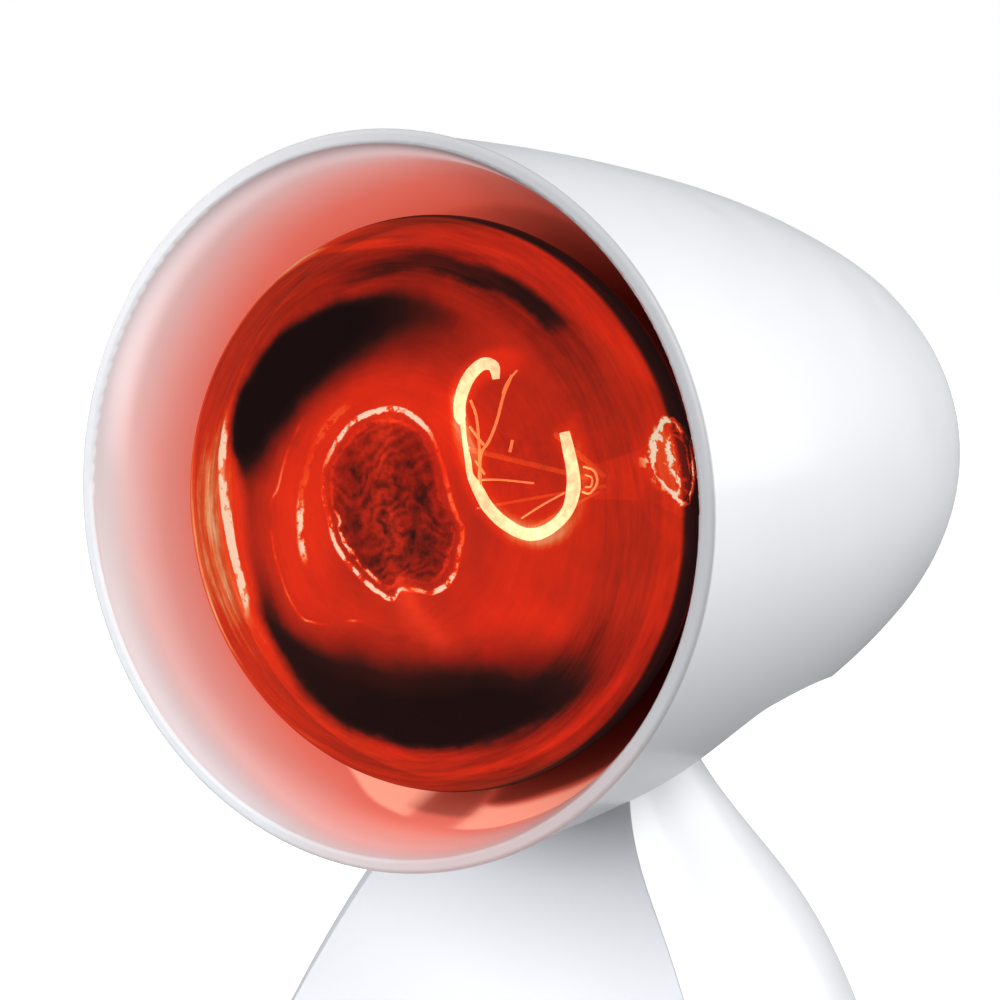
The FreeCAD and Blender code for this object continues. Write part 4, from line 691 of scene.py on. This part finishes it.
class LAMP_OT_shells(bpy.types.Operator):
    """Finish the head, the mouth and the foot in white plastic"""
    bl_idname = "heat_lamp.shells"
    bl_label = "White shells"

    def execute(self, context):
        colours = context.scene.heat_lamp_colours
        white = tuple(colours.shell_white)
        carry("head_housing", self.head_with_painted_shade(white))
        carry("mouth_liner", self.liner_with_painted_light(tuple(colours.liner_white)))
        # painted shade: the foot's rear shell takes the shell white a little darker than the other shells
        carry("foot_rear_shell", moulded("gloss_white_plastic", shaded(white, 0.95), 0.38, coat=0.25))
        carry("foot_front_cover", moulded("satin_white_plastic", white, 0.42))
        return {"FINISHED"}

    def head_with_painted_shade(self, white):
        """White plastic with a painted shadow along the seam at the mouth, and painted shade where it faces down."""
        head = moulded("head_white_plastic", white, 0.38, coat=0.25)
        # painted shadow: the base colour darkens in a thin band along the seam at the mouth
        seam_shadow_width = 0.9 * MM
        past_seam_shadow = head.smooth(head.axes()[1], HEAD[0].y, HEAD[0].y + seam_shadow_width)
        # painted shade: the base colour darkens, by up to a third, where the surface faces down
        facing = head.axes(head.node("NewGeometry").outputs["Normal"])[2]
        below = head.span(facing, -0.95, -0.15, 0.34, 0.0)
        plain = head.mix(head.noise(35.0), shaded(white, 0.97), white)
        plain = head.mix(below, plain, (0.02, 0.025, 0.04))
        head.feed("Base Color", head.mix(past_seam_shadow, shaded(white, 0.45), plain))
        return head

    def liner_with_painted_light(self, white):
        """White plastic with the bulb's red light painted on as colour and glow, more so deep in the bowl."""
        f = moulded("mouth_white_plastic", white, 0.38, coat=0.12)
        add, minus, times, rest, share = f.add, f.minus, f.times, f.rest, f.share
        x, y, z = f.axes()
        depth = times(minus(y, MOUTH_Y), 1 / MM)
        angle = f.polar(x, minus(z, AXIS_Z))[1]
        drift = times(f.uneven(38.0, 2.0), 5.0)
        sooner = f.around(angle, (
            (0, 0), (215, 0), (245, 3.5), (268, 8), (290, 8.5), (320, 6.5), (345, 0)), 10.0)
        deep = add(depth, drift, sooner)
        # painted red light of the bulb by depth in the bowl, used in the base colour and the glow
        painted_red_light = f.ramp(f.span(deep, 0.0, 60.0), [
            (0.0, (0.72, 0.62, 0.62)), (0.07, (0.72, 0.54, 0.53)), (0.14, (0.76, 0.46, 0.44)),
            (0.24, (0.84, 0.34, 0.30)), (0.38, (0.90, 0.19, 0.14)), (0.55, (0.78, 0.10, 0.06)),
            (0.75, (0.36, 0.02, 0.01)), (1.0, (0.10, 0.006, 0.004))], "LINEAR")
        # painted shade: the side of the bowl near the bulb's edge gets less of the painted light
        shade = share(angle, (
            (0, .28), (20, .22), (45, .18), (65, .28), (85, .62), (105, .95), (125, 1), (180, 1), (240, 1),
            (262, .94), (275, .88), (290, .74), (305, .46), (320, .28), (340, .28)))
        fall = add(1.0, times(f.smooth(deep, 2.0, 13.0), minus(shade, 1.0)))
        # painted light thrown past the bulb's edge on the lower wall
        start = f.around(angle, (
            (0, 36), (230, 34), (242, 28), (254, 25.5), (264, 25), (274, 23.5), (284, 22), (300, 22)))
        stop = f.around(angle, ((0, 45), (262, 45), (270, 33), (282, 31.5), (310, 31)))
        beam = times(f.band(deep, start, stop, 0.8, 1.4), share(angle, (
            (0, 0), (228, 0), (236, .9), (260, 1), (264, .3), (268, 0), (274, .1), (278, 1), (300, .9), (308, 0))))
        # the bulb's painted shadow behind it, and a painted notch in the light
        wedge = times(f.smooth(deep, 31.0, 34.0), share(angle, ((0, .9), (268, 0), (278, .8), (300, .9))))
        notch = times(f.band(deep, 28.0, 42.0, 1.2, 2.0), share(angle, (
            (0, 0), (259, 0), (264, 1), (272, 1), (278, 0))))
        # the lip stays white, with painted shade that greys it from about 285 round to 105 degrees
        bowl = f.smooth(add(depth, times(sooner, 0.55)), 1.5, 8.0)
        lip = share(angle, (
            (0, .48), (45, .5), (75, .56), (105, .7), (135, .95), (160, 1), (215, 1), (250, .95), (285, .8),
            (325, .55)))
        rim = f.mix(lip, shaded(white, 0.16), shaded(white, 0.94))
        f.feed("Base Color", f.mix(bowl, rim, f.mix(0.62, painted_red_light, (0.02, 0.01, 0.01))))
        # the painted light of the bulb starts nearer to the lip at the upper left of the roll
        early = f.around(angle, (
            (0, 0), (55, 0), (80, 2.4), (100, 3.2), (150, 3.2), (170, 1.6), (186, 0)), 10.0)
        glow = f.smooth(add(depth, early, times(sooner, 0.55)), 1.5, 8.0)
        strength = times(glow, 0.74, fall)
        strength = times(strength, rest(f.math("MAXIMUM", times(notch, 0.62), wedge)))
        f.glow(f.mix(times(beam, 0.9), painted_red_light, (0.90, 0.34, 0.24)), add(strength, times(beam, 0.34)))
        return f


class LAMP_OT_bulb(bpy.types.Operator):
    """Model the red reflector bulb: front glass, mirrored reflector and neck"""
    bl_idname = "heat_lamp.bulb"
    bl_label = "Reflector bulb"

    def execute(self, context):
        sizes = context.scene.heat_lamp_sizes
        radius = sizes.bulb_radius
        corner = sizes.shoulder_radius
        dome = sizes.dome_radius
        dome_y = GLASS[0].y + dome
        corner_y = dome_y - math.sqrt((dome - corner) ** 2 - (radius - corner) ** 2)
        join = 180 - math.degrees(math.asin((radius - corner) / (dome - corner)))
        # direction, as an arc's angle, where the shoulder passes into the reflector
        leave = 72.0
        front = arc_points(dome_y, LAMP_Z, dome, 180, join, 30)
        turn = arc_points(corner_y, LAMP_Z + radius - corner, corner, join, leave, 14)
        bowl = self.reflector(Vector(turn[-1]), leave - 90, LAMP_Z + sizes.neck_radius)
        neck_y = bowl[-1].y
        end_y = CAP[0].y + 2.0 * MM
        neck = [(0, neck_y + (end_y - neck_y) * i / 6, LAMP_Z + sizes.neck_radius) for i in range(1, 7)]
        # the neck narrows into the cap
        taper = [(0, CAP[0].y + 5.0 * MM, LAMP_Z + 12.2 * MM)]

        glass = revolve("bulb_front_glass", front + turn[1:], sizes)
        glass.data.materials.append(RubyGlass().material)
        glass.data.materials.append(self.clear_inside().material)
        middle = Vector((0, GLASS[0].y + 20 * MM, LAMP_Z))
        for face in glass.data.polygons:
            face.material_index = int(face.normal.dot(face.center - middle) < 0)
        mirror = revolve("bulb_reflector", bowl + neck + taper, sizes)
        mirror.data.materials.append(self.mirror_inside().material)
        mirror.data.materials.append(self.silvered_outside().material)
        for face in mirror.data.polygons:
            away = Vector((face.center.x, 0, face.center.z - LAMP_Z))
            face.material_index = int(face.normal.dot(away) > 0)
        for piece in (glass, mirror):
            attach(piece, "bulb")
        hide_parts("bulb_glass")
        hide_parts("bulb_glass")
        return {"FINISHED"}

    def reflector(self, start, heading, end_height):
        """Points of the reflector's three tangent arcs, scaled to end at the neck."""
        # radius in millimetres, turn in degrees
        arcs = ((104.0, -16.89), (90.9, 26.52), (40.5, 8.37))
        points = [start]
        direction = heading
        for arc_radius, bend in arcs:
            steps = max(6, round(abs(bend) / 2))
            for _ in range(steps):
                share = math.radians(bend / steps)
                chord = 2 * arc_radius * MM * math.sin(abs(share) / 2)
                middle = math.radians(direction) + share / 2
                here = points[-1]
                points.append(here + Vector((0, chord * math.cos(middle), chord * math.sin(middle))))
                direction += bend / steps
        scale = (end_height - start.z) / (points[-1].z - start.z)
        return [start + (point - start) * scale for point in points]

    def clear_inside(self):
        """Inner face of the glass, which only dims what is behind it a little."""
        finish = Finish("glass_inner_face", (0.8, 0.1, 0.05), 0.05)
        tone = finish.mix(finish.noise(90.0), (1.0, 0.90, 0.86), (1.0, 0.97, 0.95))
        finish.show(finish.node("BsdfTransparent", {"Color": tone}))
        return finish

    def mirror_inside(self):
        """Silvered inside of the reflector, filled with red light."""
        red = (0.70, 0.12, 0.06)
        finish = Finish("lit_mirror", red, 0.22, 1.0)
        finish.vary(red, 0.2, 60.0)
        depth = finish.minus(finish.axes()[1], MOUTH_Y)
        wave = finish.times(finish.uneven(30.0, 4.0, 0.6), 24 * MM)
        light = finish.ramp(finish.span(finish.add(depth, wave), 15 * MM, 105 * MM), [
            (0.0, (0.90, 0.10, 0.03)), (0.18, (0.80, 0.05, 0.015)), (0.34, (0.55, 0.022, 0.008)),
            (0.5, (0.85, 0.06, 0.018)), (0.62, (0.60, 0.03, 0.010)), (0.8, (0.12, 0.005, 0.003)),
            (1.0, (0.02, 0.001, 0.001))])
        finish.glow(light, 0.6)
        return finish

    def silvered_outside(self):
        """Red-tinged lacquer over the silver on the outside of the reflector."""
        dark_red = (0.16, 0.03, 0.022)
        finish = Finish("silvered_back", dark_red, 0.35, 0.6)
        finish.vary(dark_red, 0.3, 50.0)
        finish.rough(0.28, 0.45, 90.0)
        finish.bump(finish.noise(400.0, 2.0), 0.03 * MM, 0.3)
        return finish


class LAMP_OT_filament(bpy.types.Operator):
    """Model the glowing filament and light its wires and stem"""
    bl_idname = "heat_lamp.filament"
    bl_label = "Filament"

    def execute(self, context):
        coil_radius = context.scene.heat_lamp_sizes.filament_coil
        low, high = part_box("bulb_filament")
        plane_y = (low.y + high.y) / 2
        # across and up in millimetres, share of the coil's radius: a hook, a thin link and the lower bow
        places = ((-4.9, 18.9, .9), (-5.4, 21.0, 1.5), (-7.6, 21.3, 1.6), (-10.2, 19.1, 1.6), (-11.9, 15.5, 1.6),
                  (-12.0, 12.4, 1.5), (-11.4, 10.9, .7), (-11.1, 8.4, .6), (-10.4, 5.0, .8), (-10.0, 2.6, .8),
                  (-8.6, .4, 1.4), (-6.6, -2.6, 1.55), (-3.6, -5.1, 1.6), (0.2, -6.8, 1.6), (3.4, -6.7, 1.6),
                  (6.6, -5.0, 1.5), (9.0, -2.4, 1.5), (10.0, 0.9, 1.8), (9.9, 4.0, 1.6), (9.1, 7.4, 1.5),
                  (8.3, 10.4, 1.3))
        points = flowing([(across * MM, plane_y, LAMP_Z + up * MM) for across, up, _ in places])
        size = [thickness for _, _, thickness in places]
        thick = []
        for first, second in zip(size, size[1:]):
            thick += [coil_radius * (first + (second - first) * i / 4) for i in range(4)]
        thick.append(coil_radius * size[-1])
        coil = wire("filament_coil", points, thick)
        hot = Finish("white_hot_wire", (0.3, 0.3, 0.3), 0.5)
        turns = hot.noise(700.0, 2.0)
        hot.glow(tuple(context.scene.heat_lamp_colours.filament_light), hot.span(turns, 0.3, 0.7, 6.0, 10.0))
        hot.bump(turns, 0.05 * MM, 0.4)
        dress(coil, hot)
        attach(coil, "bulb")
        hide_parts("bulb_filament")

        lead = metal("painted_glow_support_wire", (0.75, 0.42, 0.30), 0.3)
        # painted light: the leads and support wires glow with the filament's light, though they are not lamps
        lead.glow((1.0, 0.30, 0.08), 0.8)
        carry("bulb_leads", lead)
        fine = metal("lit_support_wire", (0.85, 0.55, 0.38), 0.3)
        fine.glow((1.0, 0.62, 0.28), 3.2)
        # across and up along each wire, and its radius, in millimetres
        for number, (run, radius) in enumerate((
                (((-9.9, 15.2), (-8.8, 12.6), (-8.3, 8.6), (-8.1, 4.4), (-7.9, 1.0)), .22),
                (((-2.0, 19.6), (-3.6, 16.2), (-5.0, 11.6), (-6.6, 8.2), (-8.0, 6.2), (-8.4, 2.0)), .24),
                (((-1.2, 20.4), (-3.2, 18.2), (-4.0, 16.4)), .16), (((-9.9, 1.6), (-5.0, 1.9), (1.9, 1.6)), .16),
                (((-0.6, -4.4), (3.6, -1.9), (7.6, 0.2)), .16), (((-2.6, 8.6), (-3.1, 6.6)), .26),
                (((-11.2, 10.6), (-9.6, 8.8), (-8.4, 7.6)), .24), (((-10.2, 4.8), (-8.4, 2.6)), .2),
                (((10.6, 4.6), (12.6, 4.0), (13.2, 2.0), (11.8, 0.2), (10.4, 0.4)), .2),
                (((10.8, 3.2), (12.0, 2.8), (11.9, 1.4), (10.8, 1.2)), .16))):
            wire_y = plane_y + 0.3 * MM * number
            course = flowing([(across * MM, wire_y, LAMP_Z + up * MM) for across, up in run])
            piece = wire("filament_support_wire_%d" % (number + 1), course, [radius * MM] * len(course))
            dress(piece, fine)
            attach(piece, "bulb")
        stem = Finish("stem_glass", (0.9, 0.45, 0.35), 0.08)
        stem.vary((0.75, 0.16, 0.10), 0.3, 120.0)
        stem.feed("Transmission Weight", 0.6)
        # painted light: the stem glass glows red with the bulb's light
        stem.glow((0.8, 0.08, 0.03), 0.25)
        carry("bulb_stem", stem)
        return {"FINISHED"}


class LAMP_OT_inner_parts(bpy.types.Operator):
    """Finish the lampholder, the tilt joint, the switch, the wiring and the fasteners"""
    bl_idname = "heat_lamp.inner_parts"
    bl_label = "Inner parts"

    def execute(self, context):
        pitch = context.scene.heat_lamp_sizes.thread_pitch
        for finish, *nodes in (
                (metal("zinc_plated_steel", (0.66, 0.67, 0.69), 0.30),
                 "lampholder_bracket", "lampholder_screws", "lampholder_nuts", "liner_screws", "knuckle_screws",
                 "detent_disc", "hinge_bracket", "bracket_screws", "pivot_pin", "pivot_clip", "spring_screw",
                 "base_screws"),
                (metal("rolled_brass", (0.80, 0.60, 0.27), 0.26),
                 "lampholder_contact", "terminal_sleeves", "switch_tabs"),
                (self.threaded(metal("threaded_brass", (0.80, 0.60, 0.27), 0.26), pitch), "lampholder_shell"),
                (self.threaded(metal("threaded_cap_metal", (0.76, 0.75, 0.72), 0.28), pitch), "bulb_cap"),
                (metal("rolled_cap_metal", (0.76, 0.75, 0.72), 0.28), "bulb_contact"),
                (metal("die_cast_zinc", (0.58, 0.59, 0.61), 0.45, (200.0, 200.0, 200.0)), "tilt_knuckle"),
                (metal("blued_spring_steel", (0.34, 0.37, 0.44), 0.25), "detent_spring"),
                (moulded("glazed_ceramic", (0.82, 0.80, 0.74), 0.22, 400.0, 0.03, coat=0.5), "lampholder_body"),
                (moulded("natural_nylon", (0.80, 0.79, 0.73), 0.5), "friction_washers", "terminal_block"),
                (moulded("black_rubber", (0.035, 0.035, 0.037), 0.75, 1500.0, 0.05), "rubber_pads", "cord_bushing"),
                (moulded("white_silicone", (0.72, 0.71, 0.68), 0.6), "wire_grommet"),
                (moulded("wire_insulation", (0.76, 0.75, 0.71), 0.5), "head_wires", "foot_wires"),
                (moulded("black_cap_glass", (0.02, 0.02, 0.024), 0.12, coat=0.6), "bulb_insulator"),
                (moulded("grey_plate_plastic", (0.42, 0.43, 0.45), 0.55, 700.0, 0.04), "base_plate"),
                (moulded("switch_frame_plastic", (0.70, 0.71, 0.73), 0.45), "switch_body"),
                (moulded("rocker_plastic", (0.84, 0.85, 0.87), 0.25, coat=0.3), "switch_rocker")):
            for node in nodes:
                carry(node, finish)
        self.sleeve()
        return {"FINISHED"}

    def sleeve(self):
        """Braided sleeve of the wires at the hinge, where the head tilts."""
        low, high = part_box("hinge_sleeve")
        across, along = (low.x + high.x) / 2, (low.y + high.y) / 2
        steps = 24
        run = [(across, along, low.z + (high.z - low.z) * i / steps) for i in range(steps + 1)]
        piece = wire("braided_sleeve", run, [(high.x - low.x) / 2] * (steps + 1))
        dress(piece, self.braid())
        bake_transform(piece)
        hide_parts("hinge_sleeve")

    def threaded(self, finish, pitch):
        """Rolled round thread that winds along the bulb's axis."""
        x, y, z = finish.axes()
        angle = finish.polar(x, finish.minus(z, LAMP_Z))[1]
        turns = finish.add(finish.math("DIVIDE", y, pitch), angle)
        finish.bump(finish.math("SINE", finish.times(turns, math.tau)), 0.8 * MM, 0.9)
        return finish

    def braid(self):
        """Woven glass fibre."""
        finish = Finish("glass_fibre_braid", (0.80, 0.78, 0.70), 0.8)
        weave = finish.node("TexWave", {"Vector": finish.place, "Scale": 900.0, "Distortion": 1.0},
                            bands_direction="DIAGONAL").outputs["Fac"]
        finish.feed("Base Color", finish.mix(weave, (0.62, 0.60, 0.53), (0.84, 0.82, 0.75)))
        finish.bump(weave, 0.1 * MM, 0.5)
        return finish


class LAMP_OT_marks(bpy.types.Operator):
    """Raise the on and off marks on the rocker"""
    bl_idname = "heat_lamp.marks"
    bl_label = "Switch marks"

    def execute(self, context):
        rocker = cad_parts["switch_rocker"]
        low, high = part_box("switch_rocker")
        context.view_layer.update()
        dark_grey = moulded("mark_grey", (0.16, 0.17, 0.18), 0.5)
        for name, side in (("rocker_mark_on", 1), ("rocker_mark_off", -1)):
            height = (low.z + high.z) / 2 + side * (high.z - low.z) * 0.25
            hit, place, normal, _ = rocker.ray_cast(Vector((0, high.y + 0.01, height)), Vector((0, -1, 0)))
            if not hit:
                raise RuntimeError("the rocker has no face under " + name)
            deselect()
            turn = normal.to_track_quat("Z", "Y").to_euler()
            if side > 0:
                bpy.ops.mesh.primitive_cube_add(size=MM, location=place, rotation=turn, scale=(0.55, 3.0, 0.30))
                mark = begin(name)
                bpy.ops.mesh.select_all(action="SELECT")
                bpy.ops.mesh.bevel(offset=0.10 * MM, segments=3)
            else:
                bpy.ops.mesh.primitive_torus_add(location=place, rotation=turn, major_segments=56, minor_segments=12,
                                                 major_radius=1.25 * MM, minor_radius=0.28 * MM)
                mark = begin(name)
                bpy.ops.mesh.select_all(action="SELECT")
                bpy.ops.transform.resize(value=(1, 1, 0.55), orient_matrix=mark.matrix_world.to_3x3().transposed(),
                                         orient_type="LOCAL")
            end(mark)
            dress(mark, dark_grey)
            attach(mark, "rocker")
        return {"FINISHED"}


class LAMP_PT_panel(bpy.types.Panel):
    """Buttons for the lamp's pieces"""
    bl_idname = "LAMP_PT_panel"
    bl_label = "Heat Lamp"
    bl_space_type = "VIEW_3D"
    bl_region_type = "UI"
    bl_category = "Heat Lamp"

    def draw(self, context):
        for operator in OPERATORS:
            self.layout.operator(operator.bl_idname)
        for group in (context.scene.heat_lamp_sizes, context.scene.heat_lamp_colours):
            for name in group.__annotations__:
                self.layout.prop(group, name)


OPERATORS = (LAMP_OT_stage, LAMP_OT_shells, LAMP_OT_bulb, LAMP_OT_filament, LAMP_OT_inner_parts, LAMP_OT_marks)
CLASSES = (HeatLampSizes, HeatLampColours) + OPERATORS + (LAMP_PT_panel,)


def register():
    """Register the classes and the settings."""
    for item in CLASSES:
        bpy.utils.register_class(item)
    bpy.types.Scene.heat_lamp_sizes = PointerProperty(type=HeatLampSizes)
    bpy.types.Scene.heat_lamp_colours = PointerProperty(type=HeatLampColours)


def unregister():
    """Remove the settings and the classes."""
    del bpy.types.Scene.heat_lamp_colours
    del bpy.types.Scene.heat_lamp_sizes
    for item in reversed(CLASSES):
        bpy.utils.unregister_class(item)


def main():
    """Build the lamp's looks."""
    register()
    bpy.ops.heat_lamp.stage()
    bpy.ops.heat_lamp.shells()
    bpy.ops.heat_lamp.bulb()
    bpy.ops.heat_lamp.filament()
    bpy.ops.heat_lamp.inner_parts()
    bpy.ops.heat_lamp.marks()


if __name__ == "__main__":
    main()
